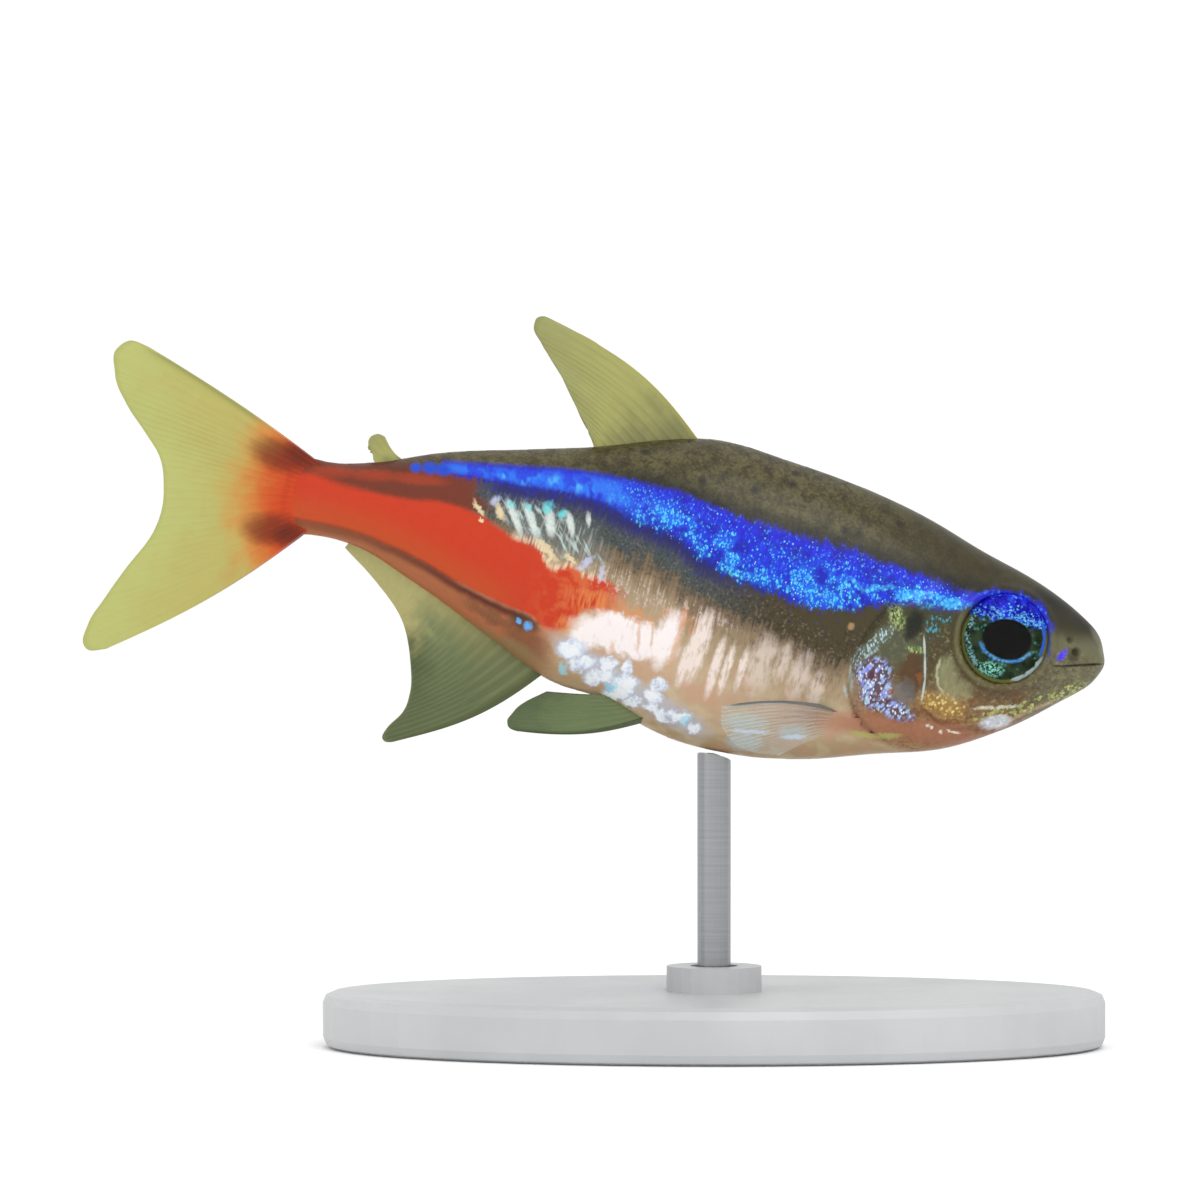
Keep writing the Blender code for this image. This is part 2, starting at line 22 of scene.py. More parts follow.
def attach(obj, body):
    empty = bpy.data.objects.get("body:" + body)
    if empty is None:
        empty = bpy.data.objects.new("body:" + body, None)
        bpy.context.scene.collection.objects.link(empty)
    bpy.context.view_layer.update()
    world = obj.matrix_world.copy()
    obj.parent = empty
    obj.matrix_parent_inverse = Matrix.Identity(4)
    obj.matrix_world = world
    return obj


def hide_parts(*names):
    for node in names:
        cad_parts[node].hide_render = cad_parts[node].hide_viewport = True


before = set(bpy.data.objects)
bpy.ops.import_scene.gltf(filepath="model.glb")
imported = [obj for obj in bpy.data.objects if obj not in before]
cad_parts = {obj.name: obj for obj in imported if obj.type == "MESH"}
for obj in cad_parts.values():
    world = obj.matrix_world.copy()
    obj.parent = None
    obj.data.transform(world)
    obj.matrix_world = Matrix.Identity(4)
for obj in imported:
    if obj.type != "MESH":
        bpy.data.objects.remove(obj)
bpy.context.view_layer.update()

log = logging.getLogger("neon_tetra")

MM = 0.001
# What the studio's light makes of a surface: how much brighter than its colour, and the gloss over it.
STUDIO_LEVEL = 1.3
STUDIO_GLOSS = 0.012
ROOT = "root"
Array: TypeAlias = np.ndarray
Material: TypeAlias = bpy.types.Material
Piece: TypeAlias = bpy.types.Object
Point: TypeAlias = tuple[float, float]
Spot: TypeAlias = tuple[float, float, float]
Line: TypeAlias = tuple[Point, ...]


class Flank(Enum):
    """A side of the fish."""

    LEFT = 1
    RIGHT = -1

    @property
    def word(self) -> str:
        """The side's name, as the CAD nodes end with it."""
        return self.name.lower()


# Shape of the fish


def soft_step(share: Array) -> Array:
    """The cubic step from 0 to 1 over 0 to 1, flat at both ends."""
    t = np.clip(share, 0.0, 1.0)
    return t * t * (3 - 2 * t)


def hump(distance: Array, reach: float) -> Array:
    """A bell that is 1 at no distance and falls away over the reach."""
    return np.exp(-((distance / reach) ** 2))


class Curve:
    """A smooth function through values at knots: cubic pieces that share their slopes."""

    def __init__(self, knots: Sequence[float], values: Sequence) -> None:
        """Args: knots: rising places. values: one value or row of values for each knot."""
        self.knots = np.array(knots, float)
        self.values = np.array(values, float).reshape(len(self.knots), -1)
        self.slopes = np.gradient(self.values, self.knots, axis=0)

    def __call__(self, at: Array) -> Array:
        """Args: at: places. Returns: one row of values for each place."""
        at = np.clip(np.asarray(at, float), self.knots[0], self.knots[-1])
        i = np.clip(np.searchsorted(self.knots, at, side="right") - 1, 0, len(self.knots) - 2)
        span = (self.knots[i + 1] - self.knots[i])[..., None]
        t = (at - self.knots[i])[..., None] / span
        return (
            self.values[i] * (1 + 2 * t) * (1 - t) ** 2
            + self.slopes[i] * span * t * (1 - t) ** 2
            + self.values[i + 1] * t * t * (3 - 2 * t)
            + self.slopes[i + 1] * span * t * t * (t - 1)
        )


def distance_to_line(aft: Array, height: Array, line: Line) -> Array:
    """Distance from places on the side to the nearest point of a line.

    Args:
        aft: places behind the snout.
        height: heights.
        line: the line's corners.

    Returns:
        One distance for each place.
    """
    nearest = np.full(np.shape(aft), 1e9)
    for (x0, y0), (x1, y1) in zip(line, line[1:]):
        along = ((aft - x0) * (x1 - x0) + (height - y0) * (y1 - y0)) / ((x1 - x0) ** 2 + (y1 - y0) ** 2)
        along = np.clip(along, 0, 1)
        gap = np.hypot(aft - x0 - along * (x1 - x0), height - y0 - along * (y1 - y0))
        nearest = np.minimum(nearest, gap)
    return nearest


@dataclass(frozen=True)
class Place:
    """How the fish's own frame sits over the stand, as in the CAD model."""

    nose_down: float = math.radians(11.8)
    rod_aft: float = 13.0
    base_height: float = 2.0
    belly_over_base: float = 8.6

    def matrix(self, belly: float) -> Matrix:
        """The fish frame in the row frame. Args: belly: height of the belly over the rod, in millimetres."""
        turn = Matrix.Rotation(self.nose_down, 4, "Y")
        foot = turn @ Vector((-self.rod_aft, 0.0, belly))
        lift = Vector((0.0, 0.0, self.base_height + self.belly_over_base))
        return Matrix.Translation((lift - foot) * MM) @ turn


@dataclass(frozen=True)
class Head:
    """Features of the head, in millimetres of aft and height."""

    mouth: Line = ((0.0, 0.02), (0.75, -0.16), (1.45, -0.35))
    lip_relief: float = 0.11
    lip_reach: float = 0.26
    crease_depth: float = 0.16
    crease_reach: float = 0.05
    eye: Point = (3.78, 0.15)
    eye_side: float = 1.32
    eye_radius: float = 1.62
    eye_half_depth: float = 0.82
    eye_turn: float = math.radians(10)
    orbit_relief: float = 0.10
    orbit_reach: float = 0.20
    socket_depth: float = 0.35
    gill_relief: float = 0.14
    slit_depth: float = 0.16
    slit_reach: float = 0.07
    ridge_relief: float = 0.05
    ridge_reach: float = 0.10
    groove_reach: float = 0.08
    jaw_depth: float = 0.06
    jaw_reach: float = 0.07
    nostril_depth: float = 0.24
    nostril_share: float = 0.75
    gill_line: Line = (
        (6.75, 3.60), (7.10, 1.30), (7.95, 0.45), (8.55, -0.70), (8.80, -2.05), (8.55, -3.25), (7.80, -4.00),
        (6.80, -4.40), (6.05, -4.80),
    )
    preopercle: Line = (
        (6.62, -0.40), (6.46, -0.98), (6.27, -1.82), (6.22, -2.52), (5.75, -3.05), (4.90, -3.20),
        (3.60, -2.95),
    )
    jaw_edge: Line = ((1.45, -0.35), (1.62, -0.95), (2.25, -1.75), (2.95, -2.40), (3.60, -2.95))
    nostrils: tuple[Spot, ...] = ((1.12, 0.22, 0.17), (1.42, 0.60, 0.13))


class Body:
    """The fish's body without its fins, as in the CAD model."""

    stations = (
        (0.00, 0.02, -0.02, 0.02), (0.08, 0.40, -0.36, 0.34), (0.30, 0.88, -0.76, 0.62),
        (1.20, 1.60, -1.58, 1.10), (3.10, 2.48, -3.06, 1.70), (5.10, 3.10, -4.16, 2.02),
        (7.50, 3.92, -4.84, 2.26), (9.90, 4.46, -5.52, 2.38), (12.20, 4.78, -5.84, 2.40),
        (15.60, 4.98, -5.52, 2.18), (17.20, 4.60, -4.88, 2.00), (19.30, 3.92, -4.60, 1.78),
        (21.60, 3.35, -3.60, 1.52), (24.80, 2.55, -2.16, 1.16), (27.20, 1.70, -1.30, 0.88),
        (28.40, 1.44, -1.22, 0.74), (30.20, 1.56, -1.52, 0.46),
    )
    total_length = 37.1
    tail_sweep = 2.0
    sweep_start = 13.0
    widest_share = 0.56
    section_power = 0.9
    rounds_from = 29.2
    thins_from = 27.6
    stem_thinning = 0.5
    end = 29.9

    def __init__(self) -> None:
        """Works out the curves through the stations."""
        roots = [math.sqrt(row[0]) for row in self.stations]
        self.curve = Curve(roots, [row[1:] for row in self.stations])
        self.head = Head()
        belly = float(self.section(np.array([Place.rod_aft]))[1][0])
        self.to_row = Place().matrix(belly)
        line = self.head.gill_line
        self.gill_at = Curve([p[1] for p in line[::-1]], [p[0] for p in line[::-1]])

    def section(self, aft: Array) -> tuple[Array, Array, Array]:
        """Heights of the back and the belly, and the half width, at distances behind the snout."""
        rows = self.curve(np.sqrt(np.maximum(aft, 0.0)))
        return rows[..., 0], rows[..., 1], rows[..., 2]

    def sweep(self, aft: Array) -> Array:
        """How far the spine is to the fish's left."""
        share = np.maximum(0.0, aft - self.sweep_start) / (self.total_length - self.sweep_start)
        return self.tail_sweep * share**2

    def surface(self, aft: Array, angle: Array, grow: float = 0.0) -> Array:
        """Points on the plain skin.

        Args:
            aft: distances behind the snout.
            angle: angles round the section, from the left side over the back.
            grow: how far out from the skin.

        Returns:
            Rows of aft, height and side, where side is measured from the swept spine.
        """
        back, belly, half_width = self.section(np.minimum(aft, self.end))
        rounded = np.clip((aft - self.rounds_from) / (self.end - self.rounds_from), 0, 1)
        closing = np.sqrt(np.maximum(0.0, 1 - rounded**2))
        middle = belly + self.widest_share * (back - belly)
        reach = np.where(np.sin(angle) > 0, back - middle, middle - belly) + grow
        across = np.sign(np.cos(angle)) * np.abs(np.cos(angle)) ** self.section_power
        height = middle + np.maximum(reach, 0.02) * np.sin(angle) * np.sqrt(closing)
        thinning = 1 - self.stem_thinning * soft_step((aft - self.thins_from) / (self.end - self.thins_from))
        side = np.maximum(half_width * thinning + grow, 0.02) * across * closing
        return np.stack([aft, height, side], axis=-1)

    def normal(self, aft: Array, angle: Array) -> Array:
        """Outward normals of the plain skin, as rows of aft, height and side."""
        small = 1e-3
        ahead = np.maximum(aft - small, 1e-4)
        behind = np.minimum(aft + small, self.end - 1e-4)
        along = self.surface(behind, angle) - self.surface(ahead, angle)
        around = self.surface(aft, angle + small) - self.surface(aft, angle - small)
        normal = np.cross(along, around)
        length = np.linalg.norm(normal, axis=-1, keepdims=True)
        normal = normal / np.maximum(length, 1e-12)
        at_pole = (length[..., 0] < 1e-9)[..., None]
        ahead_or_behind = np.where(aft[..., None] < 1, -1.0, 1.0) * np.array([1.0, 0.0, 0.0])
        return np.where(at_pole, ahead_or_behind, normal)

    def relief(self, aft: Array, height: Array) -> Array:
        """How far the head's features stand out of the plain skin.

        Args:
            aft: places behind the snout.
            height: heights.

        Returns:
            One height above the skin for each place, in millimetres.
        """
        head = self.head
        from_mouth = distance_to_line(aft, height, head.mouth)
        lips = head.lip_relief * hump(from_mouth, head.lip_reach)
        lips = lips * (0.25 + 0.75 * soft_step(aft / 0.8))
        crease = -head.crease_depth * hump(from_mouth, head.crease_reach)
        crease = crease * soft_step((aft - 0.1) / 0.35)
        from_eye = np.hypot(aft - head.eye[0], height - head.eye[1])
        orbit = head.orbit_relief * hump(from_eye - (head.eye_radius + 0.14), head.orbit_reach)
        on_flank = soft_step((2.6 - height) / 1.6) * soft_step(height + 4.6)
        to_gill = self.gill_at(height)[..., 0] - aft
        to_edge = soft_step(to_gill / (0.12 + 1.6 * soft_step(height / 2.4)))
        cover = head.gill_relief * soft_step((aft - 5.6) / 1.6) * on_flank * to_edge
        below = soft_step((0.9 - height) / 0.8) * soft_step((height + 4.5) / 0.5)
        slit = -head.slit_depth * hump(to_gill + 0.03, head.slit_reach) * below
        from_ridge = distance_to_line(aft, height, head.preopercle)
        groove = head.ridge_relief * hump(from_ridge - 0.16, head.groove_reach)
        ridge = head.ridge_relief * hump(from_ridge, head.ridge_reach) - groove
        jaw = -head.jaw_depth * hump(distance_to_line(aft, height, head.jaw_edge), head.jaw_reach)
        pits = sum(
            -head.nostril_depth * hump(np.hypot(aft - x, height - y), radius * head.nostril_share)
            for x, y, radius in head.nostrils
        )
        return lips + crease + orbit + cover + slit + ridge + jaw + pits

    def skin(self, aft: Array, angle: Array) -> Array:
        """Points on the finished skin, with the head's relief and the eye sockets."""
        plain = self.surface(aft, angle)
        lifted = plain + self.normal(aft, angle) * self.relief(plain[..., 0], plain[..., 1])[..., None]
        head = self.head
        from_eye = np.hypot(plain[..., 0] - head.eye[0], plain[..., 1] - head.eye[1])
        inside = soft_step((head.eye_radius - 0.02 - from_eye) / 0.12)
        floor = head.eye_side - head.socket_depth
        side = lifted[..., 2]
        sunk = np.sign(side) * np.minimum(np.abs(side), floor)
        lifted[..., 2] = side + (sunk - side) * inside
        return lifted

    def placed(self, points: Array) -> Array:
        """Rows of aft, height and side, as row-frame points in metres."""
        aft, height, side = np.moveaxis(points, -1, 0)
        own = np.stack([-aft, self.sweep(aft) + side, height], axis=-1)
        matrix = np.array(self.to_row)
        return own * MM @ matrix[:3, :3].T + matrix[:3, 3]


# Shader maths


Amount: TypeAlias = "Value | float"


class Value:
    """A shader socket that takes Python's arithmetic."""

    def __init__(self, bench: "Nodes", socket: bpy.types.NodeSocket) -> None:
        """Args: bench: what the tree's nodes are added with. socket: the output that this wraps."""
        self.bench = bench
        self.socket = socket

    def _math(self, operation: str, *others: Amount) -> "Value":
        """Adds a Math node of this value and the others."""
        return self.bench.add("ShaderNodeMath", {"operation": operation}, dict(enumerate((self, *others))))

    def __add__(self, other: Amount) -> "Value":
        """This plus the other."""
        return self._math("ADD", other)

    def __sub__(self, other: Amount) -> "Value":
        """This less the other."""
        return self._math("SUBTRACT", other)

    def __rsub__(self, other: float) -> "Value":
        """The other less this."""
        return self.bench.add("ShaderNodeMath", {"operation": "SUBTRACT"}, {0: other, 1: self})

    def __mul__(self, other: Amount) -> "Value":
        """This times the other."""
        return self._math("MULTIPLY", other)

    __radd__ = __add__
    __rmul__ = __mul__

    def times_plus(self, factor: Amount, other: Amount) -> "Value":
        """This times a factor, plus the other."""
        return self._math("MULTIPLY_ADD", factor, other)

    def __truediv__(self, other: Amount) -> "Value":
        """This over the other."""
        return self._math("DIVIDE", other)

    def sibling(self, output: str) -> "Value":
        """Another output of the node that this comes from."""
        return Value(self.bench, self.socket.node.outputs[output])

    def size(self) -> "Value":
        """This without its sign."""
        return self._math("ABSOLUTE")

    def root(self) -> "Value":
        """The square root of this."""
        return self._math("SQRT")

    def least(self, other: Amount) -> "Value":
        """The smaller of this and the other."""
        return self._math("MINIMUM", other)

    def most(self, other: Amount) -> "Value":
        """The larger of this and the other."""
        return self._math("MAXIMUM", other)

    def wave(self) -> "Value":
        """The sine of this."""
        return self._math("SINE")

    def step(self, start: Amount, end: Amount) -> "Value":
        """A smooth step of this from 0 at start to 1 at end, which may be below start."""
        settings = {"interpolation_type": "SMOOTHSTEP", "clamp": False}
        inputs = {"Value": self, "From Min": start, "From Max": end}
        return self.bench.add("ShaderNodeMapRange", settings, inputs)

    def near(self, centre: Amount, reach: float) -> "Value":
        """1 where this is at the centre, falling smoothly to 0 at the reach."""
        return (self - centre).size().step(reach, 0.0)


def seen(red: int, green: int, blue: int) -> tuple[float, float, float, float]:
    """The surface colour that shows as a screen colour of 0 to 255 in the studio's light."""
    shares = (channel / 255 for channel in (red, green, blue))
    linear = [c / 12.92 if c <= 0.04045 else ((c + 0.055) / 1.055) ** 2.4 for c in shares]
    return (*(min(1.0, max(0.004, (c - STUDIO_GLOSS) / STUDIO_LEVEL)) for c in linear), 1.0)


Colour: TypeAlias = Value | tuple[float, float, float, float]
SidePlace: TypeAlias = tuple[Value, Value]


class Nodes:
    """Adds nodes to one tree.

    The renderer keeps few values at once, so masks are worked out as plain numbers, next to their use.
    """

    def __init__(self, tree: bpy.types.ShaderNodeTree) -> None:
        """Args: tree: the tree that the nodes go in."""
        self.tree = tree

    def add(
        self, kind: str, settings: dict | None = None, inputs: dict | None = None, output: int | str = 0
    ) -> Value:
        """Adds a node.

        Args:
            kind: the node's type.
            settings: its properties, or "stops" of a ramp or "points" of a curve, set first.
            inputs: values or links of its sockets, by name or number.
            output: which of its outputs to return.

        Returns:
            The output, ready for arithmetic.
        """
        node = self.tree.nodes.new(kind)
        for name, setting in (settings or {}).items():
            if name == "stops":
                self._set_stops(node.color_ramp, setting)
            elif name == "points":
                self._set_points(node.mapping, setting)
            else:
                setattr(node, name, setting)
        for name, value in (inputs or {}).items():
            self.plug(node.inputs[name], value)
        return Value(self, node.outputs[output])

    def plug(self, socket: bpy.types.NodeSocket, value: "Value | float | tuple") -> None:
        """Links or sets an input."""
        if isinstance(value, Value):
            self.tree.links.new(value.socket, socket)
        else:
            socket.default_value = value

    @staticmethod
    def _set_stops(ramp: bpy.types.ColorRamp, stops: Sequence[tuple]) -> None:
        """Gives a ramp its stops, each a place and a colour."""
        while len(ramp.elements) < len(stops):
            ramp.elements.new(1.0)
        for element, (place, colour) in zip(ramp.elements, stops):
            element.position = place
            element.color = colour

    @staticmethod
    def _set_points(mapping: bpy.types.CurveMapping, points: Line) -> None:
        """Gives a curve its points."""
        curve = mapping.curves[0]
        for point in points[1:-1]:
            curve.points.new(*point)
        curve.points[0].location = points[0]
        curve.points[-1].location = points[-1]
        mapping.update()

    def function(self, at: Value, points: Line) -> Value:
        """A smooth function of a value through points, held level past its ends."""
        lowest, highest = min(p[1] for p in points), max(p[1] for p in points)
        span_x, span_y = points[-1][0] - points[0][0], max(highest - lowest, 1e-6)
        shares = [((x - points[0][0]) / span_x, (y - lowest) / span_y) for x, y in points]
        share = ((at - points[0][0]) / span_x).most(0.0).least(1.0)
        return self.add("ShaderNodeFloatCurve", {"points": shares}, {"Value": share}) * span_y + lowest

    def mix(self, share: Amount, under: Colour, over: Colour) -> Value:
        """One colour laid over another by a share."""
        settings = {"data_type": "RGBA", "blend_type": "MIX"}
        return self.add("ShaderNodeMix", settings, {0: share, 6: under, 7: over}, 2)

    def joined(self, x: Amount, y: Amount, z: Amount) -> Value:
        """A vector of three values."""
        return self.add("ShaderNodeCombineXYZ", {}, {0: x, 1: y, 2: z})

    def noise(self, at: Value, scale: float, detail: float = 2.0, rough: float = 0.5) -> Value:
        """Smooth noise between 0 and 1."""
        inputs = {"Vector": at, "Scale": scale, "Detail": detail, "Roughness": rough}
        return self.add("ShaderNodeTexNoise", {}, inputs)

    def ramp(self, share: Value, stops: Sequence[tuple]) -> Value:
        """Colours along a share from 0 to 1. Args: stops: places and their colours."""
        return self.add("ShaderNodeValToRGB", {"stops": stops}, {0: share})

    def flakes(self, at: Value, scale: float) -> tuple[Value, Value, Value]:
        """Glitter flakes.

        Args:
            at: the place, stretched so that a flake is round.
            scale: how many flakes there are to a unit.

        Returns:
            How near the middle of its flake a point is, up to 1, and two random values of the flake.
        """
        inputs = {"Vector": at, "Scale": scale}
        tint = self.add("ShaderNodeTexVoronoi", {"feature": "F1"}, inputs, "Color")
        chance = self.add("ShaderNodeSeparateColor", {}, {0: tint})
        return 1.0 - tint.sibling("Distance"), chance, chance.sibling("Green")

    def apart(self, name: str, numbers: Sequence[Value], work: Callable[..., Value]) -> Value:
        """Works out a number in a node group, which keeps this tree small and quick to build.

        Args:
            name: the group's name.
            numbers: what goes in.
            work: adds the nodes, from the values inside that stand for the numbers.

        Returns:
            The number that comes out.
        """
        group = bpy.data.node_groups.new(name, "ShaderNodeTree")
        for i in range(len(numbers)):
            group.interface.new_socket(f"number_{i}", in_out="INPUT", socket_type="NodeSocketFloat")
        group.interface.new_socket("result", in_out="OUTPUT", socket_type="NodeSocketFloat")
        inside = Nodes(group)
        entry = group.nodes.new("NodeGroupInput")
        result = work(*(Value(inside, entry.outputs[i]) for i in range(len(numbers))))
        inside.plug(group.nodes.new("NodeGroupOutput").inputs[0], result)
        return self.add("ShaderNodeGroup", {"node_tree": group}, dict(enumerate(numbers)))


class Bench(Nodes):
    """Adds the nodes of one material."""

    def __init__(self, name: str) -> None:
        """Args: name: the material's name."""
        self.material = bpy.data.materials.new(name)
        self.material.use_nodes = True
        super().__init__(self.material.node_tree)
        self.shader = self.tree.nodes["Principled BSDF"]

    def here(self) -> Value:
        """Where a shaded point is, in metres of the row frame."""
        return self.add("ShaderNodeTexCoord", {}, {}, "Object")

    def bump(self, height: Value, strength: float, distance: float) -> None:
        """Gives the shader a relief, with its height in millimetres of a unit."""
        inputs = {"Height": height, "Strength": strength, "Distance": distance}
        self.set(Normal=self.add("ShaderNodeBump", {}, inputs))

    def set(self, **inputs: "Value | float | tuple") -> None:
        """Sets the shader's inputs, with underscores for the spaces in their names."""
        for name, value in inputs.items():
            self.plug(self.shader.inputs[name.replace("_", " ")], value)


class Mark(NamedTuple):
    """A mark on the side view: an ellipse of half length and half height, with a soft edge.

    The turn is how far its rear end is turned up, in degrees, and the edge is the share of its radius
    over which it fades.
    """

    aft: float
    height: float
    long: float
    tall: float
    turn: float = 0.0
    edge: float = 0.9


# Marks are given as one mark, or as several, where a plain row does for a mark.
Marks: TypeAlias = "Mark | Sequence[Mark | tuple[float, ...]]"


def streak(start: Point, end: Point, half_width: float, edge: float = 0.8) -> Mark:
    """The mark that runs from one place to another."""
    along, up = end[0] - start[0], end[1] - start[1]
    half_length = math.hypot(along, up) / 2 + half_width
    middle = (start[0] + end[0]) / 2, (start[1] + end[1]) / 2
    return Mark(*middle, half_length, half_width, math.degrees(math.atan2(up, along)), edge)


def chain(line: Line, half_width: float, edge: float = 0.8) -> tuple[Mark, ...]:
    """The marks that run along a line's stretches."""
    return tuple(streak(start, end, half_width, edge) for start, end in zip(line, line[1:]))


class Paint:
    """A colour that others are laid over."""

    def __init__(self, bench: Bench, ground: Colour) -> None:
        """Args: bench: the material's bench. ground: the first colour."""
        self.bench = bench
        self.colour = ground

    def over(self, mask: Value, colour: Colour) -> None:
        """Lays a colour over what is painted so far."""
        self.colour = self.bench.mix(mask, self.colour, colour)


class FishPlace:
    """Where a shaded point is on the fish, in millimetres."""

    def __init__(self, bench: Bench, body: Body) -> None:
        """Args: bench: the material's bench. body: the fish's form."""
        self.bench = bench
        at = bench.here()
        inputs = {
            "Vector": at,
            "Location": body.to_row.to_translation(),
            "Rotation": body.to_row.to_euler(),
            "Scale": (MM, MM, MM),
        }
        self.point = bench.add("ShaderNodeMapping", {"vector_type": "TEXTURE"}, inputs)
        forward = bench.add("ShaderNodeSeparateXYZ", {}, {0: self.point})
        self.height = forward.sibling("Z")
        self.aft = 0.0 - forward

    def stretched(self, along: float, up: float, lean: float = 0.0) -> Value:
        """The place scaled along and up the fish, for a pattern that is longer one way. A lean slants it."""
        inputs = {
            "Vector": self.point,
            "Rotation": (0.0, math.atan(lean), 0.0),
            "Scale": (1 / along, 1 / along, 1 / up),
        }
        return self.bench.add("ShaderNodeMapping", {"vector_type": "TEXTURE"}, inputs)

    def noise(
        self, along: float, up: float, lean: float = 0.0, detail: float = 2.0, rough: float = 0.5
    ) -> Value:
        """Smooth noise with so many lumps to a millimetre along and up the fish. A lean slants it."""
        return self.bench.noise(self.stretched(along, up, lean), 1.0, detail, rough)

    def flakes(self, along: float, up: float, lean: float = 0.0) -> tuple[Value, Value, Value]:
        """Glitter flakes, so many to a millimetre along and up the fish."""
        return self.bench.flakes(self.stretched(along, up, lean), 1.0)

    def pushed(self, scale: float, along: float, up: float) -> SidePlace:
        """The place on the side view pushed about by noise, which makes the edges of marks uneven.

        Args:
            scale: how many lumps the noise has to a millimetre.
            along: how far it pushes along the fish.
            up: how far it pushes up.

        Returns:
            The pushed aft and height.
        """
        inputs = {"Vector": self.point, "Scale": scale, "Detail": 3.0, "Roughness": 0.6}
        noise = self.bench.add("ShaderNodeTexNoise", {}, inputs, "Color")
        push = self.bench.add("ShaderNodeSeparateColor", {}, {0: noise})
        return self.aft + (push - 0.5) * along, self.height + (push.sibling("Green") - 0.5) * up

    def mask(self, marks: Marks, at: SidePlace | None = None) -> Value:
        """1 inside any of the marks, falling to 0 over their edges.

        Args:
            marks: one mark, or several.
            at: a pushed place to look them up at, in place of the plain one.

        Returns:
            The share, from 0 to 1.
        """
        first, *others = (marks,) if isinstance(marks, Mark) else [Mark(*mark) for mark in marks]

        def union(aft: Value, height: Value) -> Value:
            """1 inside any mark."""
            whole = self._one(first, aft, height)
            for mark in others:
                whole = whole.most(self._one(mark, aft, height))
            return whole

        return self.bench.apart("marks", at or (self.aft, self.height), union)

    @staticmethod
    def _one(mark: Mark, aft: Value, height: Value) -> Value:
        """1 inside one mark."""
        level, steep = math.cos(math.radians(mark.turn)), math.sin(math.radians(mark.turn))
        middle_along = mark.aft * level + mark.height * steep
        middle_up = mark.height * level - mark.aft * steep
        along = height.times_plus(steep / mark.long, -middle_along / mark.long)
        along = aft.times_plus(level / mark.long, along)
        up = aft.times_plus(-steep / mark.tall, -middle_up / mark.tall)
        up = height.times_plus(level / mark.tall, up)
        square = along.times_plus(along, up * up)
        return square.step((1.0 + mark.edge / 2) ** 2, (1.0 - mark.edge) ** 2)


# Finishes


@dataclass(frozen=True)
class SkinColours:
    """Colours of the skin, from the photograph."""

    back_dark: tuple = seen(66, 60, 40)
    back_gold: tuple = seen(102, 96, 65)
    pore: tuple = seen(36, 30, 22)
    nape: tuple = seen(60, 55, 40)
    above_stripe: tuple = seen(36, 30, 26)
    deep_blue: tuple = seen(34, 24, 158)
    royal: tuple = seen(38, 42, 215)
    azure: tuple = seen(48, 122, 246)
    cyan: tuple = seen(96, 226, 250)
    ice: tuple = seen(226, 248, 255)
    indigo: tuple = seen(38, 30, 108)
    shadow_front: tuple = seen(76, 68, 48)
    shadow_rear: tuple = seen(76, 84, 84)
    red: tuple = seen(206, 64, 32)
    red_low: tuple = seen(200, 80, 40)
    dusk: tuple = seen(118, 58, 42)
    dusk_streak: tuple = seen(164, 66, 42)
    brown_line: tuple = seen(98, 50, 38)
    strip: tuple = seen(176, 106, 68)
    orange: tuple = seen(230, 144, 84)
    cream: tuple = seen(244, 222, 178)
    white: tuple = seen(255, 246, 244)
    glint_blue_white: tuple = seen(216, 232, 255)
    rib: tuple = seen(244, 228, 218)
    keel: tuple = seen(168, 142, 98)
    throat: tuple = seen(178, 120, 92)


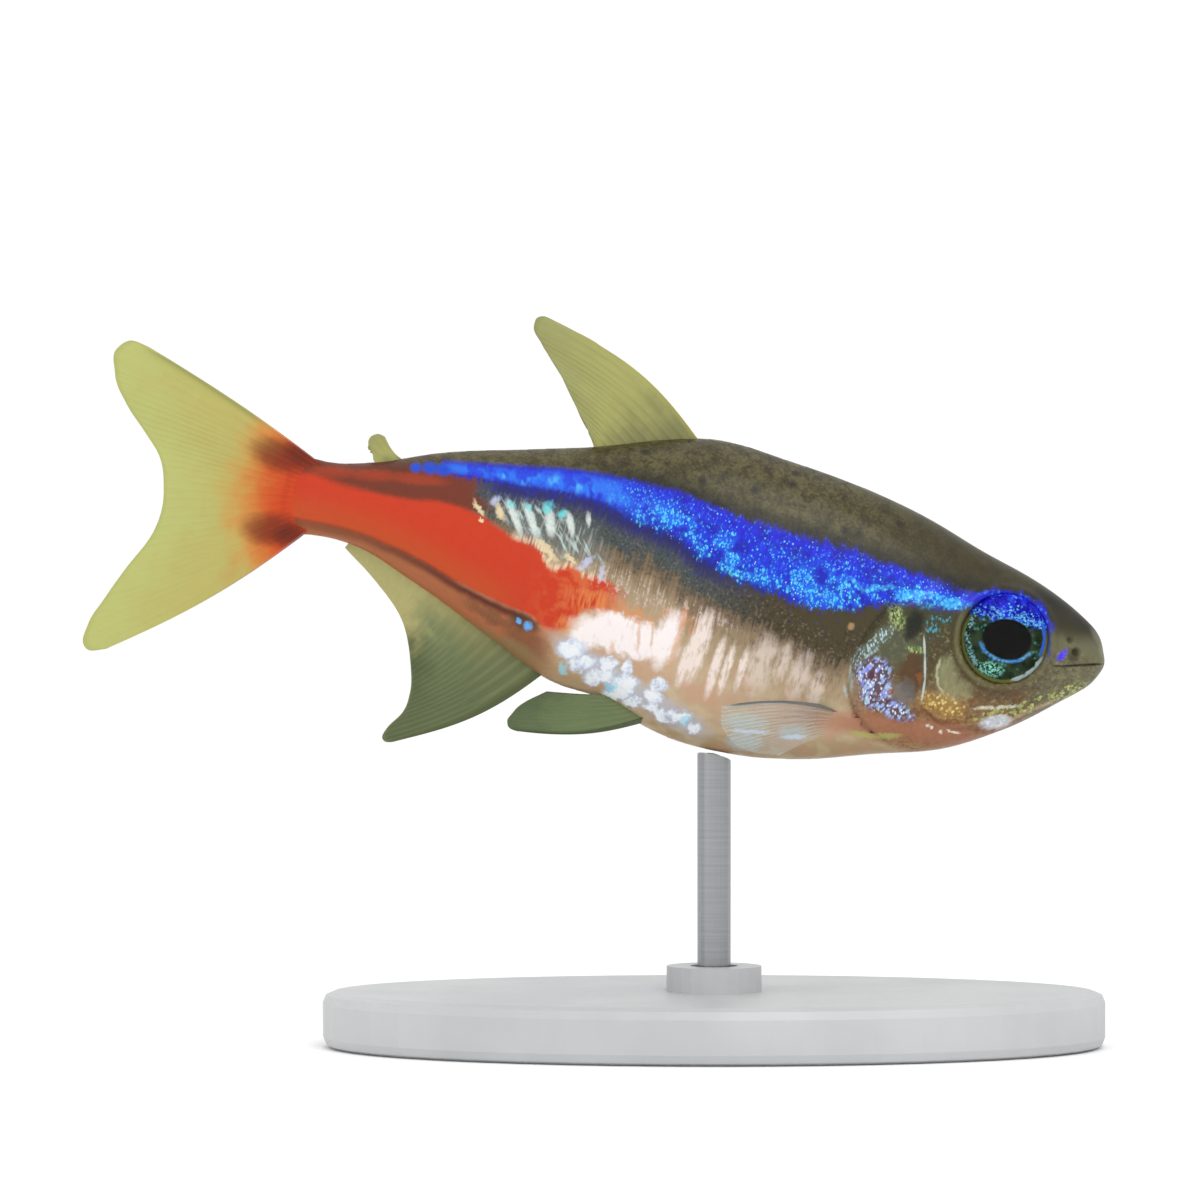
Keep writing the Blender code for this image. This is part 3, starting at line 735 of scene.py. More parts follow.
class SkinFinish(Paint):
    """Moist skin with the species' markings. The scales take the same finish."""

    stripe_top: Line = (
        (2.5, 1.80), (5.3, 1.55), (6.9, 1.78), (8.6, 1.98), (9.77, 2.17), (12.33, 2.36), (13.86, 2.52),
        (17.54, 2.96), (19.53, 2.91), (21.71, 2.64), (23.91, 2.36), (25.7, 2.10),
    )
    stripe_foot: Line = (
        (2.5, 1.0), (5.2, 0.98), (6.4, 0.62), (8.23, 0.48), (9.36, 0.07), (10.57, -0.12), (12.17, 0.02),
        (14.67, 0.60), (16.48, 1.36), (17.21, 1.45), (19.85, 1.98), (22.04, 1.92), (24.25, 1.86),
        (25.7, 1.72),
    )
    red_top: Line = (
        (16.9, -1.20), (18.16, -0.72), (18.80, -0.69), (19.25, -0.43), (19.91, -0.66), (20.32, -0.43),
        (20.87, 0.08), (21.43, 0.11), (21.94, 0.28), (23.16, 0.72), (24.06, 0.86), (25.80, 0.69),
        (28.04, 0.80), (31.0, 1.10),
    )
    red_foot: Line = (
        (16.9, -1.30), (17.6, -1.72), (18.36, -1.85), (18.9, -2.35), (19.61, -2.84), (20.38, -2.50),
        (21.40, -2.32), (22.99, -1.92), (24.56, -1.38), (25.76, -1.08), (27.68, -0.80), (31.0, -0.95),
    )
    flank_stops = (
        (0.0, seen(82, 76, 62)), (0.16, seen(84, 78, 64)), (0.26, seen(132, 112, 88)),
        (0.36, seen(166, 146, 116)), (0.50, seen(188, 166, 134)), (0.64, seen(204, 178, 148)),
        (1.0, seen(196, 168, 132)),
    )
    cheek_stops = (
        (0.0, seen(70, 70, 50)), (0.30, seen(84, 78, 54)), (0.45, seen(104, 88, 62)),
        (0.58, seen(140, 112, 78)), (0.76, seen(150, 106, 76)), (1.0, seen(178, 140, 98)),
    )

    def __init__(self, name: str, body: Body) -> None:
        """Args: name: the material's name. body: the fish's form."""
        self.colours = SkinColours()
        super().__init__(Bench(name), self.colours.back_dark)
        self.at = FishPlace(self.bench, body)
        self.body = body
        self.head = body.head
        self.sparkle = self.at.aft * 0.0
        self.grain = self.bench.noise(self.at.point, 2.2, 4.0)
        self.fine = self.bench.noise(self.at.point, 9.0, 3.0, 0.6)
        self.hairs = self.at.noise(11.0, 0.9, 0.05)
        self.ragged = self.at.pushed(3.2, 0.42, 0.62)
        self.rough = self.at.pushed(7.0, 0.14, 0.22)
        self.foot = self.bench.function(self.at.aft, self.stripe_foot)
        self.top = self.bench.function(self.at.aft, self.stripe_top)
        self.red_edge = self.bench.function(self.at.aft, self.red_top)
        self.red_hem = self.bench.function(self.at.aft, self.red_foot)
        self._paint()

    @property
    def material(self) -> Material:
        """The finished material."""
        return self.bench.material

    def daub(self, marks: Marks, share: Amount, colour: Colour, at: SidePlace | None = None) -> None:
        """Lays a colour over marks by a share. Args: at: the pushed place, if not the ragged one."""
        self.over(self.at.mask(marks, at or self.ragged) * share, colour)

    def _paint(self) -> None:
        """Lays the markings from the ground up, then sets the shader."""
        self._ground()
        self._belly()
        self._rear()
        self._red_band()
        self._dashes()
        self._white_flank()
        self._stripe()
        self._cheek()
        self._gill_cover()
        self._jaw()
        self._brow()
        self._free_edges()
        bench = self.bench
        bench.bump(self.grain * 0.6 + self.fine * 0.3, 0.3, 0.00006)
        bench.set(
            Base_Color=self.colour,
            Roughness=0.44 - self.sparkle * 0.14,
            Metallic=self.sparkle * 0.25,
            Specular_IOR_Level=0.22,
            Coat_Weight=0.06,
            Coat_Roughness=0.12,
        )

    def _ground(self) -> None:
        """A mottled olive back, and a flank that goes from shadow under the stripe to a peach belly."""
        at, bench, colours = self.at, self.bench, self.colours
        mottle = (self.grain * 0.5 + self.fine * 0.5).step(0.36, 0.66)
        back = bench.mix(mottle, colours.back_dark, colours.back_gold)
        spot, chance, _ = bench.flakes(at.point, 1.5)
        pores = spot.step(0.62, 0.95) * chance.step(0.45, 0.6)
        back = bench.mix(pores * 0.75, back, colours.pore)
        back = bench.mix(at.aft.step(10.5, 5.5) * 0.75, back, colours.nape)
        depth = self.foot - at.height - at.aft.step(11.6, 9.6) * 0.6
        self.depth = depth + (self.hairs - 0.5) * 1.15 + (self.grain - 0.5) * 1.1 + (self.fine - 0.5) * 0.5
        flank = bench.ramp(self.depth * (1 / 6), self.flank_stops)
        tint = bench.mix(at.aft.step(11.5, 15.5), colours.shadow_front, colours.shadow_rear)
        flank = bench.mix(self.depth.step(1.35, 0.95), flank, tint)
        zone = self.depth.step(-0.1, 0.5) * self.depth.step(2.6, 1.2)
        flank = bench.mix(zone * self.fine.step(0.53, 0.66) * 0.6, flank, seen(46, 38, 32))
        flank = bench.mix(zone * self.fine.step(0.44, 0.34) * 0.35, flank, seen(168, 140, 120))
        below = (at.height - self.foot).step(0.35, -0.35)
        self.colour = bench.mix(below, back, flank)
        border = (at.height - self.top).step(0.75, 0.05) * (1.0 - below) * at.aft.step(21.0, 17.0)
        self.over(border * 0.75, colours.above_stripe)

    def _belly(self) -> None:
        """A tan keel, and pale glints beside the breast fin."""
        at, bench, colours = self.at, self.bench, self.colours
        places = (0.3, 1.2, 3.1, 5.1, 7.5, 9.9, 12.2, 15.6, 19.3, 21.6, 24.8)
        bellies = self.body.section(np.array(places))[1]
        keel = bench.function(at.aft, tuple(zip(places, bellies.tolist())))
        low = (at.height - keel + (self.grain - 0.5) * 0.6).step(1.25, 0.2)
        self.over(low * 0.6, colours.keel)
        cloud = at.noise(0.9, 1.3, 0.3, 3.0)
        pink = cloud.step(0.46, 0.66) * (at.height + 2.7).step(0.2, -0.8) * at.aft.step(19.5, 17.5)
        self.over(pink * 0.5, seen(206, 156, 128))
        pale = cloud.step(0.50, 0.36) * (at.height + 3.1).step(0.2, -0.6) * at.aft.step(18.0, 16.0)
        self.over(pale * 0.4, seen(214, 196, 160))
        # Painted glints: pale patches of reflected light beside the breast fin.
        glints = (
            (12.2, -4.62, 0.72, 0.30, -6), (10.45, -4.62, 0.50, 0.24, -10), (12.05, -5.32, 0.60, 0.30, -8),
        )
        self.daub(glints, 0.75, seen(190, 206, 206))
        # Painted glints: thin blue-white streaks of reflected light beside the breast fin.
        lines = (streak((12.55, -5.0), (11.35, -4.82), 0.07), streak((10.65, -4.84), (10.05, -4.70), 0.07))
        self.over(at.mask(lines, self.rough), colours.glint_blue_white)
        self.over(at.mask(Mark(9.2, -3.9, 1.5, 0.35, -4)) * 0.5, seen(186, 128, 100))

    def _rear(self) -> None:
        """The brown top of the tail stem and the dusk between the stripe's end and the red band."""
        at, colours = self.at, self.colours
        dusk = at.aft.step(22.9, 23.5) * (self.foot + 0.12 - at.height).step(-0.14, 0.14)
        self.over(dusk, colours.dusk)
        stem = at.aft.step(24.3, 26.6) * (at.height - 1.15 + (self.grain - 0.5) * 0.5).step(-0.1, 0.75)
        self.over(stem * 0.8, seen(92, 52, 38))
        upper = chain(((24.6, 1.52), (26.2, 1.38), (27.6, 1.18), (29.2, 1.02)), 0.2, 0.9)
        self.daub(upper, 0.85, colours.dusk_streak, self.rough)

    def _red_band(self) -> None:
        """The red band of the rear half, with the brown line and the tan strip under it."""
        at, bench, colours = self.at, self.bench, self.colours
        over_red = at.height - self.red_hem
        strip = at.aft.step(18.9, 20.3) * over_red.step(0.1, -0.15)
        self.over(strip, colours.strip)
        murk = ((20.4, -3.35, 0.95, 0.42, 28, 0.95), (21.6, -2.85, 1.2, 0.22, 20, 0.95))
        self.daub(murk, 0.35 + self.hairs * 0.5, seen(108, 76, 52))
        olive = at.aft.step(18.9, 20.3) * (over_red + (self.grain - 0.5) * 0.4).step(-0.85, -1.25)
        self.over(olive * 0.7, seen(140, 124, 84))
        front = at.aft.step(21.0, 18.6)
        wobble = (self.fine - 0.5) * 0.2 + (self.hairs * 0.4 + self.grain * 0.6 - 0.5) * front * 0.8
        soft = 0.2 - front * 0.06
        over_hem = (at.height + wobble * 0.5 - self.red_hem) / (0.16 + front * 0.1)
        red = ((self.red_edge - at.height - wobble) / soft).step(-0.7, 0.7) * over_hem.step(-0.7, 0.7)
        red = red * (at.aft + (self.hairs - 0.5) * 1.2).step(16.9, 18.1)
        low = (self.red_hem + 0.9 - at.height).step(-0.4, 0.8) * at.aft.step(20.0, 22.5)
        tone = bench.mix(low, colours.red, colours.red_low)
        tone = bench.mix(front * self.grain.step(0.46, 0.62) * 0.4, tone, colours.orange)
        self.over(red, tone)
        shade = chain(((22.9, 1.05), (24.6, 1.12), (26.4, 0.92), (28.2, 0.86)), 0.24, 0.95)
        self.daub(shade, 0.9 - at.aft.step(24.0, 26.0) * 0.5, colours.dusk, self.rough)
        line = (over_red + 0.14 + (self.grain - 0.5) * 0.12).near(0.0, 0.27)
        line = line * at.aft.step(19.7, 20.9) * (1.0 - at.aft.step(22.0, 28.5) * 0.5)
        self.over(line, colours.brown_line)
        for spot in (Mark(30.4, 1.2, 1.0, 0.5, 0, 0.95), Mark(30.2, -1.25, 0.95, 0.5, 0, 0.95)):
            self.daub(spot, 0.85, colours.brown_line, self.rough)
        pair = ((20.77, -2.75, 0.10, 0.10), (20.41, -2.86, 0.15, 0.14))
        self.daub(Mark(20.55, -2.80, 0.5, 0.28, 10), 0.7, seen(72, 62, 46))
        self.over(at.mask(pair, self.rough), seen(108, 178, 244))

    def _dashes(self) -> None:
        """The slanted pale dashes over the red band, and the hairs between them."""
        at, colours = self.at, self.colours
        slanted = at.noise(6.5, 1.3, -0.8, 3.0)
        veil = at.mask(Mark(20.2, 0.62, 1.9, 0.72, 14, 0.8), self.ragged)
        self.over(veil * 0.7, seen(104, 114, 112))
        self.over(veil * self.hairs.step(0.5, 0.66) * 0.6, seen(178, 188, 182))
        shine = at.mask(((21.0, 0.95, 1.35, 0.50, 12), (19.6, 0.35, 1.2, 0.45, 22)), self.ragged)
        self.over(shine * slanted.step(0.48, 0.64) * 0.65, seen(206, 224, 222))
        self.over(shine * slanted.step(0.60, 0.68) * self.fine.step(0.45, 0.6), seen(150, 228, 236))
        fringe = (at.height - self.red_edge - 0.04 + (self.fine - 0.5) * 0.2).near(0.0, 0.22)
        fringe = fringe * at.aft.step(17.9, 18.8) * at.aft.step(22.0, 21.2) * self.hairs.step(0.36, 0.6)
        self.over(fringe * 0.85, seen(248, 212, 176))
        cream = (
            streak((23.15, 1.08), (22.83, 0.77), 0.10),
            (22.81, 0.46, 0.11, 0.08, 0, 0.5),
            streak((22.32, 1.05), (22.10, 0.80), 0.13),
            streak((20.60, 0.14), (20.00, -0.25), 0.15),
            streak((20.10, -0.20), (20.18, -0.46), 0.09),
            streak((19.54, -0.17), (19.25, -0.27), 0.08),
        )
        self.daub(cream, 0.85, colours.cream)
        white = (
            streak((21.97, 1.30), (21.37, 0.40), 0.12, 0.95),
            streak((21.28, 1.25), (20.82, 0.43), 0.13, 0.95),
            streak((20.44, 1.13), (20.30, 0.62), 0.17, 0.95),
            streak((19.77, 1.25), (19.56, 0.75), 0.11, 0.95),
            streak((19.12, 1.45), (19.03, 1.14), 0.08, 0.95),
        )
        self.daub(white, 0.45 + self.fine * 0.6, seen(236, 246, 240), self.rough)
        violet = (
            streak((19.01, -0.46), (18.70, -0.03), 0.10, 0.95),
            streak((18.24, -0.30), (18.18, -0.64), 0.10, 0.95),
            (22.50, 1.28, 0.14, 0.18),
        )
        self.daub(violet, 0.75, seen(204, 208, 240))
        cyan = (
            (20.56, 1.44, 0.15, 0.20), (20.01, 1.28, 0.12, 0.15), (21.90, 1.30, 0.09, 0.20, -58),
            (21.24, 1.34, 0.08, 0.13),
        )
        self.daub(cyan, 0.8, seen(120, 226, 232))

    def _white_flank(self) -> None:
        """Silver patches before the red band, slanted ribs, and blue-white blotches by the belly fins."""
        at, colours = self.at, self.colours
        torn = 0.35 + (self.hairs * 0.5 + self.grain * 0.5).step(0.34, 0.56) * 0.75
        glow = ((17.6, -1.75, 1.5, 0.5, 8), (18.9, -2.65, 0.55, 0.5), (15.2, -1.6, 0.6, 0.45))
        self.over(at.mask(glow, self.ragged) * self.hairs.step(0.36, 0.6) * 0.8, colours.orange)
        flecks = ((17.2, -0.75, 1.5, 0.45, 10), (14.6, -1.25, 1.3, 0.35, 8))
        torn_flecks = (self.hairs * 0.5 + self.fine * 0.5).step(0.50, 0.60)
        self.over(at.mask(flecks, self.ragged) * torn_flecks * 0.6, seen(226, 206, 200))
        faint = (
            (12.05, -2.50, 0.50, 0.95, 6), (10.65, -2.60, 0.34, 0.80, 6), (9.98, -2.95, 0.26, 0.60, 6),
            (11.30, -2.30, 0.20, 0.70, 6),
        )
        self.over(at.mask(faint, self.ragged) * torn * 0.5, colours.rib)
        ribs = (
            (14.36, -2.35, 0.34, 1.25, 6, 0.55), (14.70, -3.00, 0.18, 0.80, 6, 0.7),
            (13.62, -2.95, 0.17, 1.05, 5, 0.6), (13.22, -2.90, 0.15, 0.85, 5, 0.7),
            (12.70, -2.80, 0.12, 0.70, 5, 0.8),
        )
        self.over((at.mask(ribs, self.rough) * torn * 1.1).least(1.0), colours.rib)
        patch = (
            (16.95, -2.52, 1.90, 0.70, 3, 0.35), (15.50, -2.30, 0.40, 1.00, 8, 0.7),
            (18.45, -2.85, 0.50, 0.42, 0, 0.5), (17.30, -2.10, 0.70, 0.35, 12, 0.5),
        )
        bright = at.mask(patch, self.ragged)
        self.over((bright * (0.6 + torn * 0.5)).least(1.0), colours.white)
        cracks = (
            streak((16.55, -2.0), (16.42, -2.9), 0.06),
            streak((16.08, -1.9), (15.98, -2.7), 0.05),
            streak((17.35, -2.9), (17.20, -3.5), 0.10),
            streak((15.02, -1.5), (15.22, -3.3), 0.12),
        )
        self.daub(cracks, 0.6, seen(222, 170, 132), self.rough)
        blotches = (
            (18.75, -3.35, 0.46, 0.34, -20, 0.7), (18.25, -3.75, 0.50, 0.30, -20, 0.7),
            (17.55, -4.10, 0.56, 0.28, -22, 0.8), (17.35, -3.60, 0.30, 0.26, -22),
            (16.68, -3.62, 0.20, 0.34, 0, 0.6), (16.62, -4.16, 0.52, 0.36, -12, 0.5),
            (16.85, -4.58, 0.50, 0.22, -20, 0.6), (16.20, -4.72, 0.36, 0.22, -12, 0.6),
            (15.45, -3.98, 0.34, 0.24, 0, 0.6), (15.50, -4.40, 0.34, 0.26, 0, 0.6),
            (15.52, -4.82, 0.30, 0.20, 0, 0.6), (15.05, -4.96, 0.40, 0.22, -8, 0.5),
            (14.42, -4.90, 0.40, 0.22, -10, 0.6), (13.90, -5.22, 0.24, 0.16, -14, 0.7),
        )
        haze = chain(((18.9, -3.3), (17.4, -4.0), (15.9, -4.5), (13.9, -5.15)), 0.42, 0.95)
        self.daub(haze, 0.3 + self.grain * 0.5, seen(190, 202, 222))
        silver = at.mask(blotches, self.ragged)
        self.over((silver * (0.35 + torn * 0.65)).least(1.0), seen(196, 216, 244))
        crisp = silver.step(0.3, 1.0) * (self.grain * 0.6 + self.fine * 0.4).step(0.36, 0.54)
        self.over(crisp * 0.95, seen(250, 253, 255))
        cyan = ((18.92, -4.12, 0.15, 0.18), (14.25, -5.0, 0.18, 0.12), (17.1, -4.4, 0.2, 0.12))
        self.daub(cyan, 0.7, seen(150, 226, 250))
        self.sparkle = self.sparkle.most(bright * 0.4)

    def _stripe(self) -> None:
        """The blue stripe: flames along its top, glitter in its middle, soft azure blobs in its rear."""
        at, bench, colours = self.at, self.bench, self.colours
        flames = at.noise(5.0, 0.8, -0.25, 5.0, 0.75) - 0.5
        front = at.aft.step(22.0, 11.0)
        top = self.top + flames * (0.12 + front * 0.95) - front * 0.08
        foot = self.foot + flames * 0.3 + (self.fine - 0.5) * 0.5 + (self.hairs - 0.5) * 0.6
        ends = (at.aft + (self.fine - 0.5) * 0.6).step(5.0, 5.4) * at.aft.step(24.75, 24.45)
        indigo = (at.height - foot).step(-0.75, -0.1) * (at.height - top).step(0.1, -0.1)
        indigo = indigo * at.aft.step(12.0, 15.5) * at.aft.step(23.4, 22.2)
        self.over(indigo * 0.85, colours.indigo)
        stripe = (at.height - top).step(0.18, -0.14) * (at.height - foot).step(-0.14, 0.16) * ends
        share = ((at.height - self.foot) / (self.top - self.foot).most(0.2)).most(0.0).least(1.0)
        clouds = at.noise(2.6, 1.5, -0.3)
        deep = (share - 0.12 + (clouds - 0.5) * 0.5).step(0.2, -0.1)
        blue = Paint(bench, bench.mix(deep * at.aft.step(10.0, 14.0), colours.royal, colours.deep_blue))
        threads = at.noise(9.0, 3.0, 0.1, 4.0, 0.7)
        blue.over(threads.step(0.46, 0.36) * 0.7, seen(34, 28, 150))
        blue.over(threads.step(0.54, 0.68) * 0.6, seen(58, 92, 244))
        gaps = at.noise(1.5, 2.2, 0.3, 3.0).step(0.5, 0.64)
        blue.over(gaps * at.aft.step(19.0, 16.0) * 0.5, seen(34, 26, 150))
        crest = 0.30 + at.aft.step(15.5, 19.0) * 0.20
        clumps = at.noise(1.5, 1.0, -0.4, 3.0, 0.6).step(0.40, 0.56)
        glow = (share - crest).near(0.0, 0.58) * (0.16 + clumps * 0.84) * (1.0 - gaps * 0.6)
        blue.over(glow * 0.78, colours.azure)
        spot, first, second = at.flakes(9.5, 6.5)
        small, third, fourth = at.flakes(17.0, 12.0)
        crisp = at.aft.step(19.5, 16.5)
        lit = spot.step(0.3, 0.75) * (first + glow * 0.70).step(0.95, 1.13) * crisp
        blue.over(lit * 0.9, bench.mix(second.step(-0.2, 0.8), colours.azure, colours.cyan))
        tiny = small.step(0.35, 0.8) * (third + glow * 0.54).step(0.93, 1.10) * crisp
        blue.over(tiny, colours.cyan)
        blue.over(small.step(0.5, 0.9) * fourth.step(0.965, 0.98) * crisp, colours.ice)
        rear_glow = at.aft.step(15.5, 19.5) * (share - 0.55).near(0.0, 0.6) * (0.25 + clumps * 0.6)
        blue.over(rear_glow * 0.85, seen(60, 122, 238))
        blobs = at.noise(3.4, 1.6, -0.4, 1.0).step(0.47, 0.66)
        blobs = blobs * (share - 0.45).near(0.0, 0.5)
        soft = bench.mix(clouds.step(0.45, 0.65), colours.azure, seen(90, 190, 246))
        blue.over(blobs * at.aft.step(16.0, 19.0) * at.aft.step(23.6, 22.4) * 0.8, soft)
        sparks = bench.mix(third, colours.azure, colours.cyan)
        upper = small.step(0.3, 0.7) * fourth.step(0.80, 0.92) * (share - 0.75).near(0.0, 0.45) * crisp
        blue.over(upper * 0.75, sparks)
        self.over(stripe, blue.colour)
        chips = small.step(0.4, 0.8) * third.step(0.955, 0.97) * (self.foot - at.height).near(0.25, 0.75)
        self.over(chips * at.aft.step(24.0, 22.5), colours.royal)
        beads = (
            (25.5, 1.86, 0.2, 0.17, 0, 0.8), (25.0, 1.95, 0.28, 0.21, 0, 0.8), (24.55, 1.98, 0.3, 0.2, 0, 0.8)
        )
        self.over(at.mask(beads), seen(42, 80, 205))
        self.sparkle = self.sparkle.most(stripe * (0.2 + glow * 0.5))

    def _cheek(self) -> None:
        """Olive snout and cheek, with a pale crescent and a gold patch behind the eye."""
        at, bench = self.at, self.bench
        down = (0.4 - at.height) * (1 / 5) + (self.grain - 0.5) * 0.22
        cheek = bench.ramp(down, self.cheek_stops)
        cheek = bench.mix(at.aft.step(3.4, 1.4) * (at.height + 3.2).step(0.0, 0.8), cheek, seen(112, 110, 84))
        gill = bench.function(at.height, tuple((p[1], p[0]) for p in self.head.gill_line[::-1]))
        head = (at.aft - gill + (self.fine - 0.5) * 0.3).step(0.5, -0.6)
        self.over(head * (at.height - 0.75).step(0.35, -0.35), cheek)
        specks = at.noise(5.0, 6.0, 0.4, 4.0, 0.7)
        face = head * (at.height - 0.2).step(0.35, -0.6)
        self.over(face * specks.step(0.50, 0.64) * 0.6, seen(92, 62, 40))
        self.over(face * specks.step(0.48, 0.34) * 0.45, seen(172, 160, 114))
        sheen = chain(((0.14, 0.35), (0.30, 0.75), (0.62, 1.05)), 0.12, 0.95)
        self.daub(sheen, 0.35, seen(146, 150, 124), self.rough)
        dark_snout = Mark(1.75, 1.15, 0.75, 0.42, 24)
        self.daub(dark_snout, 0.6, seen(66, 64, 48))
        throat = chain(((4.3, -3.55), (6.6, -3.75), (8.5, -3.9)), 0.42, 0.95)
        self.daub(throat, 0.75, self.colours.throat)
        fill = ((5.52, -1.55, 0.38, 0.62, -14, 0.95), (5.15, -2.05, 0.55, 0.40, -30, 0.95))
        self.daub(fill, 0.2 + self.hairs * 0.75, seen(162, 164, 122))
        rust = ((4.6, -2.35, 0.55, 0.26, -8, 0.95), (2.9, -1.75, 0.45, 0.22, -24, 0.95))
        self.over(at.mask(rust, self.ragged) * self.fine.step(0.4, 0.6) * 0.6, seen(122, 82, 54))
        rim = chain(((5.89, -1.05), (5.93, -1.48), (5.75, -1.94), (5.48, -2.22)), 0.05)
        self.daub(rim, 0.7, seen(196, 198, 160), self.rough)
        spot, first, second = at.flakes(9.0, 9.0)
        gold = at.mask(Mark(5.42, -2.62, 0.78, 0.38, 6), self.ragged)
        self.over(gold * 0.6, seen(176, 136, 72))
        lit = gold * spot.step(0.2, 0.7) * first.step(0.3, 0.6)
        self.over(lit, bench.mix(second, seen(206, 160, 70), seen(242, 226, 150)))
        brown = chain(((6.15, -2.83), (5.54, -3.16), (4.60, -3.05)), 0.08)
        self.daub(brown, 0.6, seen(118, 62, 40), self.rough)
        dots = (
            (6.72, -3.30, 0.06, 0.05), (5.80, -3.40, 0.07, 0.05), (5.64, -3.45, 0.06, 0.06),
            (5.29, -3.53, 0.06, 0.06), (4.85, -3.45, 0.24, 0.035),
        )
        self.daub(dots, 0.9, seen(240, 236, 222), self.rough)
        self.sparkle = self.sparkle.most(gold * 0.5)

    def _gill_cover(self) -> None:
        """The glittering crescent and the brown window of the gill cover, and the marks round them."""
        at, bench = self.at, self.bench
        veil = Mark(7.55, -0.95, 0.95, 0.70, -12)
        self.daub(veil, 0.55, seen(94, 104, 84))
        window = ((6.84, -1.55, 0.40, 0.62, 4, 0.4), (6.72, -2.1, 0.34, 0.45, 4, 0.5))
        self.daub(window, 0.85, seen(92, 66, 42))
        self.daub(Mark(6.95, -2.50, 0.40, 0.46, 10, 0.95), 0.6, seen(112, 118, 122))
        plate = ((8.10, -1.98, 0.66, 0.58, -18, 0.4), (7.88, -2.62, 0.56, 0.62, 10, 0.4))
        tail_end = ((7.15, -3.08, 0.78, 0.32, 14, 0.5),)
        crescent = at.mask(plate + tail_end, self.rough)
        self.over(crescent * 0.85, seen(96, 78, 96))
        spot, first, second = at.flakes(9.5, 4.6, 0.45)
        bright = bench.mix(second, seen(148, 150, 244), seen(176, 222, 255))
        lit = crescent * spot.step(0.2, 0.62) * first.step(0.24, 0.42)
        self.over(lit, bright)
        small, third, _ = at.flakes(14.0, 8.0, -0.4)
        self.over(crescent * small.step(0.3, 0.8) * third.step(0.62, 0.78), seen(244, 246, 255))
        dark = (
            (8.16, -2.07, 0.17, 0.16, 0, 0.5), (7.80, -2.79, 0.14, 0.14, 0, 0.5),
            (7.40, -2.88, 0.13, 0.12, 0, 0.5),
        )
        self.daub(dark, 0.8, seen(96, 52, 68), self.rough)
        orange = ((7.38, -2.45, 0.14, 0.10, 0, 0.5), (6.46, -1.84, 0.10, 0.22, 0, 0.5))
        self.daub(orange, 0.6, seen(160, 90, 50))
        rear = chain(((7.92, -0.38), (8.20, -0.86), (8.47, -1.17), (8.66, -1.46), (8.77, -1.74)), 0.20, 0.95)
        band = at.mask(rear, self.ragged)
        self.over(band * 0.45, seen(112, 128, 112))
        self.over(band * small.step(0.2, 0.7) * third.step(0.4, 0.6), seen(186, 214, 220))
        outer = (streak((8.93, -1.98), (8.74, -2.69), 0.07), streak((9.01, -2.62), (8.87, -2.97), 0.06))
        self.daub(outer, 0.6, seen(190, 206, 204), self.rough)
        self.daub(Mark(7.08, -0.04, 0.32, 0.56, 10, 0.6), 0.9, seen(32, 40, 28))
        green = ((7.72, 0.14, 0.24, 0.44, -30, 0.8), (6.85, -0.85, 0.32, 0.12, 0, 0.8))
        lit = at.mask(green, self.rough) * small.step(0.2, 0.7) * 0.85
        self.over(lit, bench.mix(first, seen(104, 146, 72), seen(206, 222, 150)))
        teal = ((6.38, 0.02, 0.20, 0.34, -12, 0.95), (6.05, 0.42, 0.3, 0.12))
        lit = at.mask(teal, self.ragged) * small.step(0.3, 0.7) * third.step(0.3, 0.5) * 0.85
        self.over(lit, seen(70, 180, 206))
        self.over(at.mask(chain(self.head.preopercle[:4], 0.04, 0.9)) * 0.85, seen(206, 220, 218))
        low = chain(((8.34, -4.21), (7.6, -4.18), (6.79, -3.99)), 0.10, 0.9)
        self.daub(low, 0.8, seen(186, 188, 112), self.rough)
        self.daub(Mark(9.23, -0.53, 0.11, 0.12), 0.9, seen(176, 142, 102), self.rough)
        self.sparkle = self.sparkle.most(crescent * 0.6)

    def _jaw(self) -> None:
        """The line of the mouth, the nostril, a violet spot, and glitter along the lower jaw."""
        at, bench = self.at, self.bench
        spot, first, second = at.flakes(9.0, 9.0)
        edge = chain(((0.75, -0.98), (1.8, -1.62), (2.8, -2.30), (4.1, -2.80)), 0.20, 0.9)
        lit = at.mask(edge, self.ragged) * spot.step(0.1, 0.6) * first.step(0.3, 0.55)
        self.over(lit * 0.9, bench.mix(second, seen(150, 168, 84), seen(222, 226, 140)))
        lip = chain(((1.5, -1.62), (2.3, -2.15), (3.1, -2.75)), 0.07)
        self.daub(lip, 0.5, seen(206, 178, 144), self.rough)
        glint = chain(((4.31, -2.47), (3.6, -2.30), (2.82, -2.09)), 0.06, 0.9)
        self.daub(glint, 0.4 + first * 0.5, seen(226, 226, 200), self.rough)
        silver = at.mask(Mark(3.42, -2.80, 0.58, 0.26, -20, 0.5), self.rough)
        self.over(silver * (0.75 + first * 0.25), bench.mix(second, seen(206, 216, 226), seen(244, 246, 250)))
        mouth = (*self.head.mouth, (1.85, -0.42))
        self.over(at.mask(chain(mouth, 0.035, 0.8)) * 0.8, seen(44, 38, 24))
        self.daub(Mark(1.20, 0.08, 0.22, 0.27, -20, 0.8), 0.7, seen(56, 50, 38), self.rough)
        violet = at.mask(Mark(1.62, 0.0, 0.13, 0.27, 30, 0.5), self.rough)
        self.over(violet, bench.mix(spot, seen(60, 44, 200), seen(110, 96, 250)))

